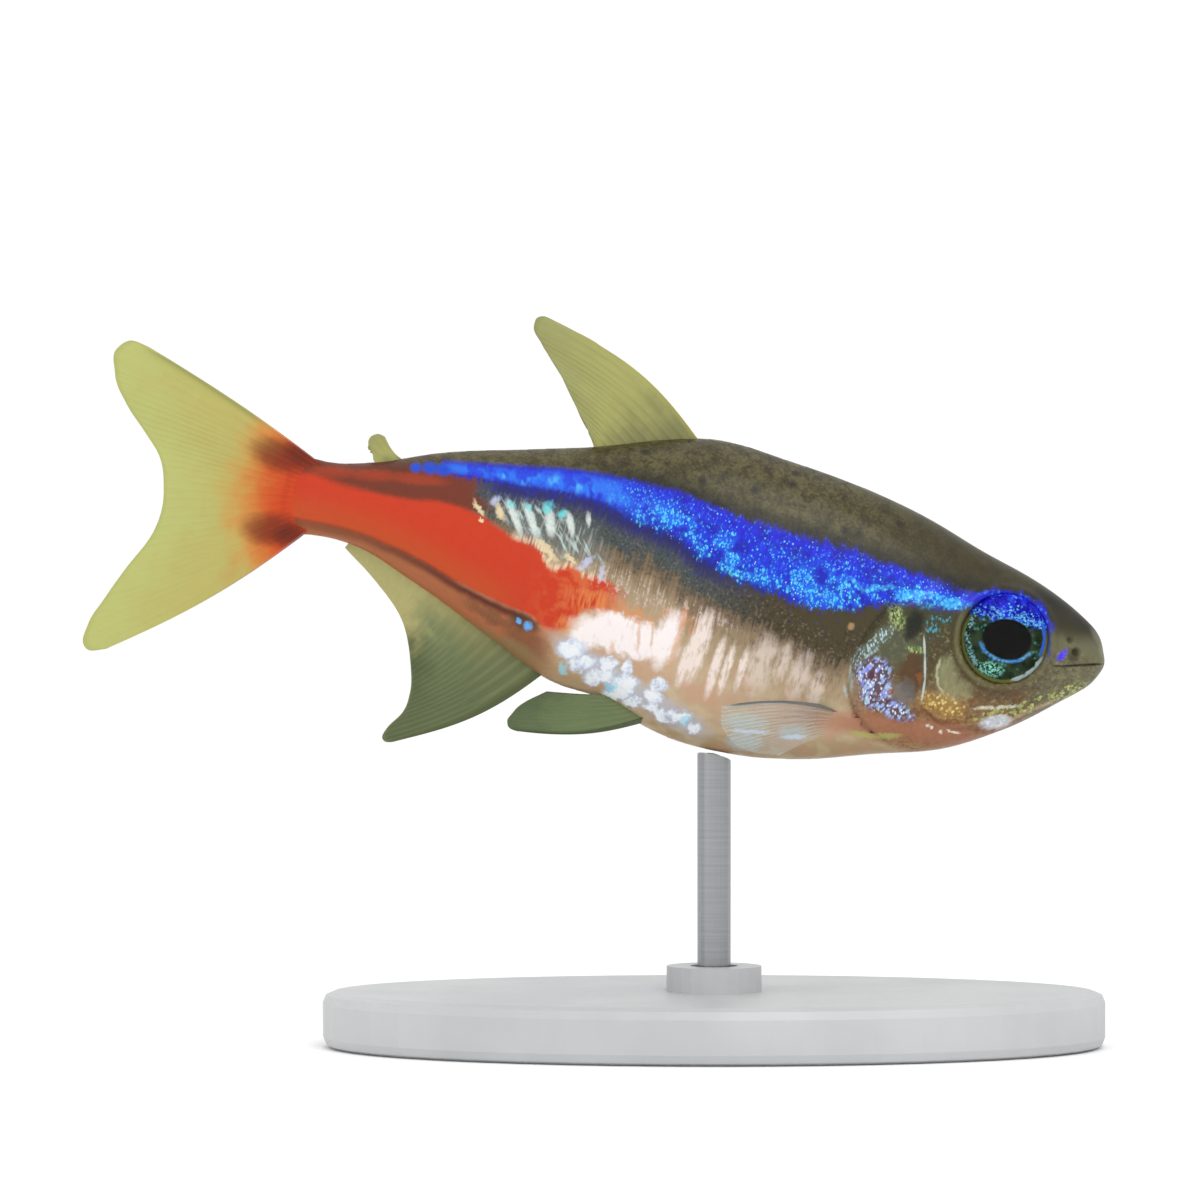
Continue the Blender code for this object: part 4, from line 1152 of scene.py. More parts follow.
    def _brow(self) -> None:
        """The blue of the stripe running on over the eye."""
        at, bench, colours = self.at, self.bench, self.colours
        spot, first, second = at.flakes(10.0, 8.0)
        brow = chain(((5.35, 1.22), (4.7, 1.58), (3.8, 1.74), (2.9, 1.52), (2.38, 1.0)), 0.20, 0.95)
        blue = bench.mix(spot.step(0.3, 0.7) * first.step(0.72, 0.86), colours.royal, colours.azure)
        self.daub(brow, 0.9, blue)
        x, y = at.aft - self.head.eye[0], at.height - self.head.eye[1]
        from_eye = (x * x + y * y).root() + (self.grain - 0.5) * 0.1
        socket = y.step(0.95, 0.35) * (0.35 + (x - 0.2).step(-0.6, 0.6) * 0.65)
        self.over((from_eye - 1.74).near(0.0, 0.16) * socket * 0.7, seen(116, 112, 76))
        self.over((from_eye - 1.90).near(0.0, 0.12) * socket * 0.45, seen(72, 56, 38))
        front = streak((2.28, 0.95), (2.12, -0.15), 0.07, 0.95)
        self.daub(front, 0.7, seen(52, 72, 150))
        glitter = (
            *chain(((6.68, 1.05), (6.1, 0.95), (5.57, 1.03)), 0.17, 0.9),
            *chain(((7.79, 0.85), (7.4, 0.95), (7.02, 1.12)), 0.15, 0.9),
            *chain(((9.48, 1.05), (8.97, 0.84), (8.43, 1.00), (8.03, 1.15)), 0.11, 0.9),
        )
        lit = at.mask(glitter, self.ragged) * (0.35 + spot.step(0.1, 0.6) * first.step(0.25, 0.5))
        self.over(lit.least(1.0) * 0.9, bench.mix(second, colours.azure, colours.cyan))

    def _free_edges(self) -> None:
        """A thin dark line along each scale's free edge, on the back alone."""
        edge = self.bench.add("ShaderNodeAttribute", {"attribute_name": "free_edge"}, {}, "Fac")
        on_back = (self.at.height - self.top).step(0.1, 0.9) * self.at.aft.step(8.0, 10.5)
        self.over(edge.step(0.74, 1.0) * on_back * 0.4, self.colours.pore)


@dataclass(frozen=True)
class FinColours:
    """What colours a fin."""

    root: tuple
    middle: tuple
    tip: tuple
    ray: tuple
    lead: tuple
    front: tuple | None = None
    rear: tuple | None = None
    alpha: float = 0.94
    ray_share: float = 0.3
    blush: bool = False


class FinFinish:
    """A thin membrane with fine rays, coloured from its root to its tips.

    The fin's own UV map gives the share across its rays and the share along them.
    """

    def __init__(self, name: str, body: Body, colours: FinColours, rays: int) -> None:
        """Makes the material.

        Args:
            name: the material's name.
            body: the fish's form.
            colours: the fin's colours.
            rays: how many rays it has.
        """
        bench = Bench(name)
        self.material = bench.material
        at = FishPlace(bench, body)
        shares = bench.add("ShaderNodeUVMap", {"uv_map": "UVMap"})
        across = bench.add("ShaderNodeSeparateXYZ", {}, {0: shares})
        along = across.sibling("Y")
        grain = bench.noise(at.point, 1.4, 3.0)
        reach = along + (grain - 0.5) * 0.45
        paint = Paint(bench, bench.mix(reach.step(0.0, 0.5), colours.root, colours.middle))
        paint.over(reach.step(0.5, 1.0), colours.tip)
        if colours.front:
            paint.over((across + (grain - 0.5) * 0.4).step(0.6, 0.08) * 0.85, colours.front)
        if colours.rear:
            paint.over((across + (grain - 0.5) * 0.4).step(0.40, 0.68) * 0.95, colours.rear)
        main = (across * (2 * math.pi * (rays - 1)) + math.pi / 2).wave()
        branch = (across * (4 * math.pi * (rays - 1)) - math.pi / 2).wave()
        share = along.step(0.3, 0.65)
        ridge = (main * (1.0 - share) + branch * share).step(-0.2, 0.95)
        fibres = bench.noise(bench.joined(across * (rays * 9.0), along * 5.0, 0.0), 1.0, 2.0)
        shown = colours.ray_share * (1.0 - along * 0.65)
        paint.over(ridge * shown, colours.ray)
        paint.over(fibres.step(0.45, 0.75) * colours.ray_share * 0.5, colours.ray)
        lead = across.step(0.05, 0.01) * along.step(1.0, 0.85)
        paint.over(lead * 0.75, colours.lead)
        rim = along.step(0.965, 1.0)
        paint.over(rim * 0.3, colours.ray)
        if colours.blush:
            self._blush(paint, at, grain)
        bench.bump(ridge * 0.4 + fibres * 0.3, 0.3, 0.00005)
        bench.set(
            Base_Color=paint.colour,
            Roughness=0.42 + grain * 0.15,
            Alpha=(colours.alpha + ridge * colours.ray_share * 0.2 + lead).least(1.0),
            Specular_IOR_Level=0.15,
        )

    @staticmethod
    def _blush(paint: Paint, at: FishPlace, grain: Value) -> None:
        """The tail stem's red, which runs out into the fin through orange, with dark spots by its edges."""
        spread = (at.height - 0.1).size()
        back = at.aft + (grain - 0.5) * 1.1 + spread * spread * 0.16 - spread * 0.05 - 0.1
        paint.over(back.step(32.7, 31.1), seen(212, 160, 84))
        paint.over(back.step(32.0, 30.3), seen(214, 104, 52))
        paint.over(back.step(31.0, 29.8), seen(212, 78, 44))
        pushed = at.pushed(3.0, 0.3, 0.3)
        for upper, lower in (
            ((30.35, 1.30, 1.00, 0.52, 6, 0.98), (30.15, -1.35, 0.95, 0.52, -8, 0.98)),
            ((29.45, 1.45, 0.75, 0.36, 10, 0.98), (29.35, -1.40, 0.65, 0.34, -10, 0.98)),
        ):
            paint.over(at.mask((upper, lower), pushed) * 0.72, seen(98, 48, 38))
        crease = streak((29.95, 0.9), (29.95, -0.9), 0.10, 0.95)
        paint.over(at.mask(crease, pushed) * 0.15, seen(150, 52, 38))


class EyeFinish:
    """Finishes of the eyeball and its cornea."""

    def __init__(self, body: Body) -> None:
        """Args: body: the fish's form."""
        self.ball = self._iris(body)
        self.cornea = self._cornea()

    @staticmethod
    def _iris(body: Body) -> Material:
        """Black pupil with blue glitter over and under it, dark teal round it, a yellow-olive rim, and a
        painted highlight curve on its lower front.
        """
        bench = Bench("eye_iris")
        at = FishPlace(bench, body)
        x, y = at.aft - body.head.eye[0], at.height - body.head.eye[1]
        radius = (x * x + y * y).root()
        spot, first, _ = at.flakes(9.0, 9.0)
        small, third, fourth = at.flakes(15.0, 15.0)
        pushed = at.pushed(6.0, 0.16, 0.16)
        grain = bench.noise(at.point, 3.0, 3.0)
        iris = Paint(bench, bench.mix(grain.step(0.35, 0.65), seen(38, 48, 32), seen(62, 78, 56)))
        iris.over(spot.step(0.3, 0.7) * first.step(0.8, 0.92), seen(70, 136, 124))
        rear = at.mask(chain(((5.02, 0.75), (5.15, 0.1), (4.92, -0.55), (4.42, -1.05)), 0.09, 0.95), pushed)
        iris.over(rear * small.step(0.15, 0.65) * third.step(0.25, 0.5), seen(144, 196, 200))
        low = at.mask(Mark(4.05, -0.98, 0.40, 0.26, -6), pushed)
        iris.over(low * small.step(0.2, 0.6) * third.step(0.2, 0.45), seen(150, 238, 214))
        iris.over(radius.step(1.40, 1.50) * y.step(0.9, 0.2), seen(128, 132, 74))
        iris.over(radius.step(1.55, 1.64) * y.step(0.9, 0.2), seen(70, 66, 44))
        # Painted highlight: a pale white-blue curve of reflected light on the eye's lower front.
        painted_highlight_arc = at.mask(chain(((2.30, -0.25), (2.48, -0.62), (2.80, -0.98), (3.15, -1.20)), 0.075, 0.7), pushed)
        iris.over(painted_highlight_arc, seen(196, 214, 218))
        level = y + (first - 0.5) * 0.24 - 0.42 + (x + 0.2).size() * -0.12
        blue = bench.mix(grain.step(0.4, 0.62), seen(40, 34, 176), seen(48, 62, 232))
        dense = (y - 0.84 + (x + 0.1).size() * 0.25).near(0.0, 0.55) * 0.66
        lit = small.step(0.2, 0.65) * (third + dense).step(0.86, 1.02)
        blue = bench.mix(lit, blue, bench.mix(fourth, seen(60, 140, 250), seen(140, 236, 252)))
        iris.over(level.step(0.0, 0.16), blue)
        front = at.mask(chain(((2.52, 0.95), (2.36, 0.45), (2.38, -0.1)), 0.06, 0.9), pushed)
        iris.over(front * 0.9, seen(66, 116, 240))
        px, py = (x + 0.09) / 0.88, (y - 0.03) / 0.70
        pupil = (px * px + py * py).root() + (grain - 0.5) * 0.08
        under = (pupil - 1.14).near(0.0, 0.13) * (y + 0.18).step(0.0, -0.25)
        glint = bench.mix(third, seen(50, 110, 246), seen(140, 224, 252))
        iris.over(under * (0.25 + small.step(0.1, 0.55) * 0.75), glint)
        iris.over(pupil.step(1.05, 0.97), seen(34, 22, 6))
        bench.set(Base_Color=iris.colour, Roughness=0.4, Metallic=lit * 0.25, Specular_IOR_Level=0.03)
        bench.bump(first, 0.12, 0.00004)
        return bench.material

    @staticmethod
    def _cornea() -> Material:
        """Clear and wet."""
        bench = Bench("eye_cornea")
        bench.set(Base_Color=(0.02, 0.02, 0.02, 1.0), Roughness=0.04, Alpha=0.06, IOR=1.38)
        at = bench.here()
        bench.bump(bench.noise(at, 900.0), 0.04, 0.00002)
        return bench.material


class StandFinish:
    """Finishes of the stand."""

    def __init__(self) -> None:
        """Makes the base's and the rod's materials."""
        self.base = self._base()
        self.rod = self._rod()

    @staticmethod
    def _base() -> Material:
        """Fine-sanded pale grey, a little darker where the finish pools."""
        bench = Bench("stand_base_satin")
        at = bench.here()
        cloud = bench.noise(at, 180.0, 4.0)
        speck = bench.noise(at, 5200.0, 2.0)
        colour = bench.mix(cloud.step(0.35, 0.7), seen(196, 198, 200), seen(208, 209, 210))
        bench.set(Base_Color=colour, Roughness=0.38 + speck * 0.16)
        bench.bump(speck, 0.25, 0.00002)
        return bench.material

    @staticmethod
    def _rod() -> Material:
        """Steel brushed round the rod."""
        bench = Bench("stand_rod_steel")
        at = bench.here()
        stretched = bench.add("ShaderNodeMapping", {}, {"Vector": at, "Scale": (200.0, 200.0, 9000.0)})
        lines = bench.noise(stretched, 1.0, 3.0)
        colour = bench.mix(lines, seen(150, 152, 155), seen(186, 187, 189))
        bench.set(Base_Color=colour, Metallic=1.0, Roughness=0.22 + lines * 0.2)
        bench.bump(lines, 0.15, 0.00002)
        return bench.material


# Pieces


def start_primitive() -> None:
    """Deselects everything, so that an operator acts only on what is added next."""
    if bpy.context.object and bpy.context.object.mode != "OBJECT":
        bpy.ops.object.mode_set(mode="OBJECT")
    bpy.ops.object.select_all(action="DESELECT")


def take_primitive(name: str, material: Material) -> Piece:
    """Names the primitive that was just added, and dresses it."""
    piece = bpy.context.object
    piece.name = name
    piece.data.name = name
    piece.data.materials.append(material)
    return piece


def corners(piece: Piece) -> Array:
    """The vertices of a piece, one row each."""
    places = np.empty(len(piece.data.vertices) * 3)
    piece.data.vertices.foreach_get("co", places)
    return places.reshape(-1, 3)


def move_corners(piece: Piece, places: Array) -> None:
    """Moves every vertex of a piece to its place in the row frame, and its object to the origin."""
    piece.matrix_world = Matrix.Identity(4)
    piece.data.vertices.foreach_set("co", places.ravel())
    piece.data.update()


def turn_outward(piece: Piece) -> None:
    """Makes the faces of a closed piece point outwards."""
    bpy.ops.object.mode_set(mode="EDIT")
    bpy.ops.mesh.select_all(action="SELECT")
    bpy.ops.mesh.normals_make_consistent(inside=False)
    bpy.ops.object.mode_set(mode="OBJECT")


def apply_modifiers(piece: Piece) -> None:
    """Applies every modifier of a piece."""
    bpy.context.view_layer.objects.active = piece
    for modifier in list(piece.modifiers):
        bpy.ops.object.modifier_apply(modifier=modifier.name)


def finish_piece(piece: Piece, slot: str, nodes: Sequence[str], angle: float = 180.0) -> None:
    """Shades a piece and joins it to the frame.

    Args:
        piece: the finished mesh.
        slot: a material slot's name; not used.
        nodes: the CAD nodes that it stands for.
        angle: faces that meet at less than this angle are shaded as one surface.
    """
    start_primitive()
    piece.select_set(True)
    bpy.context.view_layer.objects.active = piece
    bpy.ops.object.shade_smooth_by_angle(angle=math.radians(angle))
    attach(piece, ROOT)
    if nodes:
        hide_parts(*nodes)
    log.info("%s: %d faces", piece.name, len(piece.data.polygons))


@dataclass
class Skin:
    """The skin of the head, trunk and tail in one piece."""

    body: Body
    segments: int = 216
    rings: int = 300
    crowding: float = 1.5
    nodes: tuple[str, ...] = (
        "head", "lower_jaw", "gill_cover_left", "gill_cover_right", "trunk", "tail", "tail_stem",
    )

    def build(self, material: Material) -> None:
        """Shapes a sphere whose poles become the snout and the stem's end. Args: material: its finish."""
        start_primitive()
        bpy.ops.mesh.primitive_uv_sphere_add(segments=self.segments, ring_count=self.rings, radius=1.0)
        skin = take_primitive("skin", material)
        ball = corners(skin)
        polar = np.arccos(np.clip(ball[:, 2], -1, 1)) / math.pi
        aft = self.body.end * polar**self.crowding
        angle = np.arctan2(ball[:, 1], ball[:, 0])
        places = self.body.skin(aft, angle)
        at_pole = np.hypot(ball[:, 0], ball[:, 1]) < 1e-6
        back, belly, _ = self.body.section(np.minimum(aft, self.body.end))
        middle = belly + self.body.widest_share * (back - belly)
        places[at_pole] = np.stack([aft, middle, 0 * aft], axis=-1)[at_pole]
        move_corners(skin, self.body.placed(places))
        turn_outward(skin)
        finish_piece(skin, "skin_trunk", self.nodes)


@dataclass(frozen=True)
class ScaleRoot:
    """Where a scale is rooted, and the room that it has.

    The round place is its distance from the middle of the flank, round the skin.
    """

    aft: float
    round: float
    pitch: float
    row_pitch: float


@dataclass
class ScaleCoat:
    """Overlapping scales over the trunk and tail, in rows that converge to the stem."""

    body: Body
    flank: Flank
    column_pitch: float = 0.70
    row_pitch_front: float = 0.86
    row_pitch_rear: float = 0.58
    length_share: float = 2.1
    width_share: float = 1.14
    root_lift: float = 0.003
    lift: float = 0.015
    thickness: float = 0.006
    roundness: float = 0.36
    crown: float = 0.002
    first: float = 6.6
    last: float = 28.2
    column_crowding: float = 0.97
    row_crowding: float = 1.3
    room_front: float = 1.05
    room_drop: float = 0.25
    grows_over: float = 2.5
    rows_each_way: int = 16
    edge_room: float = 0.2
    cover_gap: float = 0.02
    jitter: float = 0.03
    bend_reach: float = 1.6
    round_steps: int = 360
    unwrapped: Point = (30.0, 26.0)
    patch: float = 0.003
    crease_angle: float = 35.0
    rng: np.random.Generator = field(default_factory=lambda: np.random.default_rng(7))

    def _template(self) -> tuple[Array, Array]:
        """One scale from a grid, rounded at its free end.

        Returns:
            Its corners as rows of length share, width share and depth share, and its faces.
        """
        start_primitive()
        bpy.ops.mesh.primitive_grid_add(x_subdivisions=4, y_subdivisions=8, size=1.0)
        scale = bpy.context.object
        shell = scale.modifiers.new("thickness", "SOLIDIFY")
        shell.thickness = 1.0
        shell.offset = -1.0
        apply_modifiers(scale)
        places = corners(scale)
        along, across, depth = places[:, 0] + 0.5, places[:, 1], places[:, 2]
        along = along * (1 - self.roundness * (2 * across) ** 2)
        faces = np.array([list(face.vertices) for face in scale.data.polygons])
        bpy.data.objects.remove(scale)
        return np.stack([along, across, depth], axis=-1), faces

    def _rows(self, aft: float) -> tuple[Array, Array]:
        """The angles from back to belly on this flank at one place, and how far each is round the skin."""
        quarter = math.pi / 2
        swing = np.linspace(quarter, -quarter, self.round_steps)
        angle = swing if self.flank is Flank.LEFT else math.pi - swing
        points = self.body.surface(np.full(self.round_steps, aft), angle)
        steps = np.linalg.norm(np.diff(points, axis=0), axis=1)
        around = np.concatenate([[0.0], np.cumsum(steps)])
        return angle, around - around[self.round_steps // 2]

    def _roots(self) -> list[ScaleRoot]:
        """Every scale's root, from the stem forwards."""
        made = []
        count = int((self.last - self.first) / self.column_pitch)
        for column in range(count, -1, -1):
            share = column / count
            aft = self.first + (self.last - self.first) * share**self.column_crowding
            bent = share**self.row_crowding
            pitch = self.row_pitch_front + (self.row_pitch_rear - self.row_pitch_front) * bent
            angle, around = self._rows(aft)
            room = self.edge_room * pitch
            for row in range(-self.rows_each_way, self.rows_each_way + 1):
                at = (row + 0.5 * (column % 2)) * pitch
                if not around[0] - room < at < around[-1] + room:
                    continue
                here = np.interp(at, around, angle)
                height = self.body.surface(np.array([aft]), np.array([here]))[0, 1]
                if aft > float(self.body.gill_at(np.array([height]))[0, 0]) + self.cover_gap:
                    own = self.column_pitch * (self.room_front - self.room_drop * share)
                    made.append(ScaleRoot(aft, at, own, pitch))
        return made

    def build(self, material: Material) -> None:
        """Lays the scales on the skin. Args: material: the skin's finish."""
        template, faces = self._template()
        roots = self._roots()
        total = len(roots)
        places = np.stack([self._scale(template, root) for root in roots])
        mesh = bpy.data.meshes.new(f"scales_{self.flank.word}")
        all_faces = (faces[None] + np.arange(total)[:, None, None] * len(template)).reshape(-1, 4)
        points = self.body.placed(places.reshape(-1, 3))
        mesh.from_pydata(points.tolist(), [], all_faces.tolist())
        coat = bpy.data.objects.new(mesh.name, mesh)
        bpy.context.scene.collection.objects.link(coat)
        mesh.materials.append(material)
        edge = mesh.attributes.new("free_edge", "FLOAT", "POINT")
        rim = np.hypot(np.maximum(0.0, template[:, 0] - 0.45) / 0.55, template[:, 1] * 2 * 0.8)
        edge.data.foreach_set("value", np.tile(np.clip(rim, 0, 1), total).astype(np.float32))
        self._unwrap(mesh, roots, template)
        bpy.context.view_layer.objects.active = coat
        coat.select_set(True)
        turn_outward(coat)
        finish_piece(coat, "skin_trunk", (), self.crease_angle)

    def _scale(self, template: Array, root: ScaleRoot) -> Array:
        """One scale bent to the skin.

        Args:
            template: the flat scale.
            root: its place.

        Returns:
            Its corners as rows of aft, height and side.
        """
        angle_here, around_here = self._rows(root.aft)
        angle_next, around_next = self._rows(min(root.aft + root.pitch, self.last + 0.4))
        along = template[:, 0] * root.pitch * self.length_share
        jitter = self.rng.uniform(-self.jitter, self.jitter)
        round_at = root.round + jitter + template[:, 1] * root.row_pitch * self.width_share
        share = np.clip(along / root.pitch, 0, self.bend_reach)
        stretch = around_next[-1] / around_here[-1]
        first = np.interp(round_at, around_here, angle_here)
        second = np.interp(round_at * stretch, around_next, angle_next)
        angle = first + (second - first) * share
        here = np.minimum(root.aft + along, self.body.end - 0.05)
        start = float(soft_step((root.aft - self.first) / self.grows_over))
        height = self.root_lift + (0.3 + 0.7 * start) * (self.lift - self.root_lift) * template[:, 0]
        crown = -self.crown * (2 * template[:, 1]) ** 2
        depth = template[:, 2] * self.thickness
        out = (height + crown + depth)[:, None]
        return self.body.surface(here, angle) + self.body.normal(here, angle) * out

    def _unwrap(self, mesh: bpy.types.Mesh, roots: Sequence[ScaleRoot], template: Array) -> None:
        """Gives each scale a small patch at its root's place on an unwrap of the skin."""
        layer = mesh.uv_layers.new(name="OFBake")
        length, girth = self.unwrapped
        half = 0.0 if self.flank is Flank.LEFT else 0.5
        anchor = np.array([(root.aft / length, half + (0.5 + root.round / girth) * 0.5) for root in roots])
        local = np.stack([template[:, 0], template[:, 1] + 0.5], axis=-1) * self.patch
        spots = (anchor[:, None] + local[None]).reshape(-1, 2)
        loops = np.empty(len(mesh.loops), np.int32)
        mesh.loops.foreach_get("vertex_index", loops)
        layer.data.foreach_set("uv", spots[loops].astype(np.float32).ravel())


@dataclass
class Eye:
    """One eye: an eyeball turned from a profile round its axis, and a clear cornea over it."""

    body: Body
    flank: Flank
    steps: int = 72
    front: Line = (
        (0.0, 0.50), (0.4, 0.49), (0.8, 0.46), (1.1, 0.42), (1.35, 0.37), (1.5, 0.31), (1.58, 0.24),
    )
    back: Line = ((1.62, 0.12), (1.62, -0.2), (1.1, -0.55), (0.0, -0.7))
    lens_steps: int = 14
    lens_radius: float = 1.52
    lens_rim: float = 0.34
    lens_sink: float = 0.36
    lens_turn: float = 1.35
    cornea_gap: float = 0.03
    cornea_share: float = 0.98
    crease_angle: float = 40.0

    def _spun(
        self, name: str, profile: Sequence[Point], material: Material, nodes: Sequence[str]
    ) -> None:
        """Turns a piece of the eye from a profile and joins it to the frame.

        Args:
            name: the piece's name.
            profile: radius and depth, from the front round to the back.
            material: its finish.
            nodes: the CAD nodes that it stands for.
        """
        start_primitive()
        bpy.ops.mesh.primitive_circle_add(vertices=3, radius=1.0)
        piece = take_primitive(name, material)
        shape = bmesh.new()
        verts = [shape.verts.new((radius, 0.0, depth)) for radius, depth in profile]
        for first, second in zip(verts, verts[1:]):
            shape.edges.new((first, second))
        shape.to_mesh(piece.data)
        shape.free()
        bpy.ops.object.mode_set(mode="EDIT")
        bpy.ops.mesh.select_all(action="SELECT")
        bpy.ops.mesh.spin(steps=self.steps, angle=2 * math.pi, center=(0, 0, 0), axis=(0, 0, 1))
        bpy.ops.mesh.select_all(action="SELECT")
        bpy.ops.mesh.remove_doubles(threshold=1e-4)
        bpy.ops.object.mode_set(mode="OBJECT")
        self._place(piece)
        turn_outward(piece)
        finish_piece(piece, "eye", nodes, self.crease_angle)

    def _place(self, piece: Piece) -> None:
        """Turns the piece's axis out of the head, and puts it in its socket."""
        head = self.body.head
        side = self.flank.value
        local = corners(piece)
        out = local[:, 2] * side
        cos, sin = math.cos(head.eye_turn), math.sin(head.eye_turn)
        forward = -local[:, 0] * cos + side * out * sin
        outward = out * cos + side * local[:, 0] * sin
        aft = head.eye[0] - forward
        places = np.stack([aft, head.eye[1] + local[:, 1], side * head.eye_side + outward], axis=-1)
        move_corners(piece, self.body.placed(places))

    def build(self, finish: EyeFinish) -> None:
        """Makes the eyeball and the cornea. Args: finish: their materials."""
        word = self.flank.word
        self._spun(f"eyeball_{word}", self.front + self.back, finish.ball, (f"eye_{word}",))
        lens = [self._lens_point(share) for share in np.linspace(0.0, 1.0, self.lens_steps)]
        inside = [(radius * self.cornea_share, depth - self.cornea_gap) for radius, depth in lens[::-1]]
        self._spun(f"cornea_{word}", lens + inside, finish.cornea, ())

    def _lens_point(self, share: float) -> Point:
        """Radius and depth on the cornea's front, at a share of the way from its middle to its rim."""
        turn = share * self.lens_turn
        radius = self.lens_radius * math.sin(turn) / math.sin(self.lens_turn)
        rise = self.body.head.eye_half_depth - self.lens_sink
        return radius, self.lens_rim + rise * math.cos(turn * math.pi / 2 / self.lens_turn)


FinRow: TypeAlias = tuple[float, float, float, float]


def flat(*rows: Spot) -> tuple[FinRow, ...]:
    """Rows across a fin that stands in the fish's middle plane, from share across, aft and height."""
    return tuple((*row, 0.0) for row in rows)


def spread(flank: Flank, *rows: FinRow) -> tuple[FinRow, ...]:
    """Rows across a paired fin, from share across, aft, height and distance out to its own side."""
    return tuple((share, aft, height, flank.value * out) for share, aft, height, out in rows)


@dataclass
class Fin:
    """A fin whose rays fan from a root line in the body to their tips.

    The root and the tips are rows of place across the fin, from 0 at the leading ray to 1 at the last,
    then aft, height and side. The bow lifts the leading ray, the cup turns the middle rays aside, and
    a flare over 1 takes the fin away from the body early on.
    """

    name: str
    root: Sequence[FinRow]
    tips: Sequence[FinRow]
    rays: int
    slot: str
    nodes: tuple[str, ...]
    bow: float = 0.0
    bow_last: float = 0.0
    cup: float = 0.0
    flare: float = 1.0
    ripple: float = 0.0
    thick_root: float = 0.5
    thick_edge: float = 0.07
    ray_relief: float = 0.035
    lead_relief: float = 0.05
    lead_share: float = 0.05
    ripple_turns: float = 17
    ripple_lean: float = 2.5
    rows: int = 56
    across_steps: int = 10
    crease_angle: float = 50.0

    def _middle(self, across: Array, along: Array) -> Array:
        """The middle of the membrane at shares across the rays and along them."""
        root = Curve([p[0] for p in self.root], [p[1:] for p in self.root])(across)
        tip = Curve([p[0] for p in self.tips], [p[1:] for p in self.tips])(across)
        ray = tip - root
        length = np.maximum(np.hypot(ray[..., 0], ray[..., 1]), 1e-6)
        bowed = np.sin(math.pi * along) * (self.bow * (1 - across) ** 2 + self.bow_last * across**2)
        aft = root[..., 0] + ray[..., 0] * along - ray[..., 1] / length * bowed
        height = root[..., 1] + ray[..., 1] * along + ray[..., 0] / length * bowed
        side = root[..., 2] + ray[..., 2] * (1 - (1 - along) ** self.flare)
        side = side + self.cup * np.sin(math.pi * across) * along
        wave = np.sin(across * self.ripple_turns + along * self.ripple_lean)
        side = side + self.ripple * wave * along**2
        return np.stack([aft, height, side], axis=-1)

    def _thickness(self, across: Array, along: Array) -> Array:
        """Stout at the root, fine at the tips, and raised along each ray, which forks half way."""
        plain = self.thick_root + (self.thick_edge - self.thick_root) * soft_step(along / 0.75) ** 0.6
        main = 0.5 + 0.5 * np.cos(2 * math.pi * across * (self.rays - 1))
        fork = 0.5 - 0.5 * np.cos(4 * math.pi * across * (self.rays - 1))
        share = soft_step((along - 0.35) / 0.3)
        ray = main**3 * (1 - share) + fork**2 * share
        lead = soft_step((self.lead_share - across) / self.lead_share)
        return plain + (self.ray_relief * ray + self.lead_relief * lead) * (1 - 0.75 * along)

    def build(self, body: Body, material: Material) -> None:
        """Shapes the fin from a grid. Args: body: the fish. material: its finish."""
        start_primitive()
        columns = (self.rays - 1) * self.across_steps
        bpy.ops.mesh.primitive_grid_add(
            x_subdivisions=columns, y_subdivisions=self.rows, size=1.0, calc_uvs=True
        )
        fin = take_primitive(self.name, material)
        sheet = corners(fin)
        across, along = sheet[:, 0] + 0.5, sheet[:, 1] + 0.5
        move_corners(fin, body.placed(self._middle(across, along)))
        thickness = self._thickness(across, along)
        stoutest = float(thickness.max())
        group = fin.vertex_groups.new(name="thickness")
        for index, weight in enumerate(thickness / stoutest):
            group.add([index], float(weight), "REPLACE")
        shell = fin.modifiers.new("thickness", "SOLIDIFY")
        shell.thickness = stoutest * MM
        shell.offset = 0.0
        shell.vertex_group = group.name
        apply_modifiers(fin)
        turn_outward(fin)
        finish_piece(fin, self.slot, self.nodes, self.crease_angle)


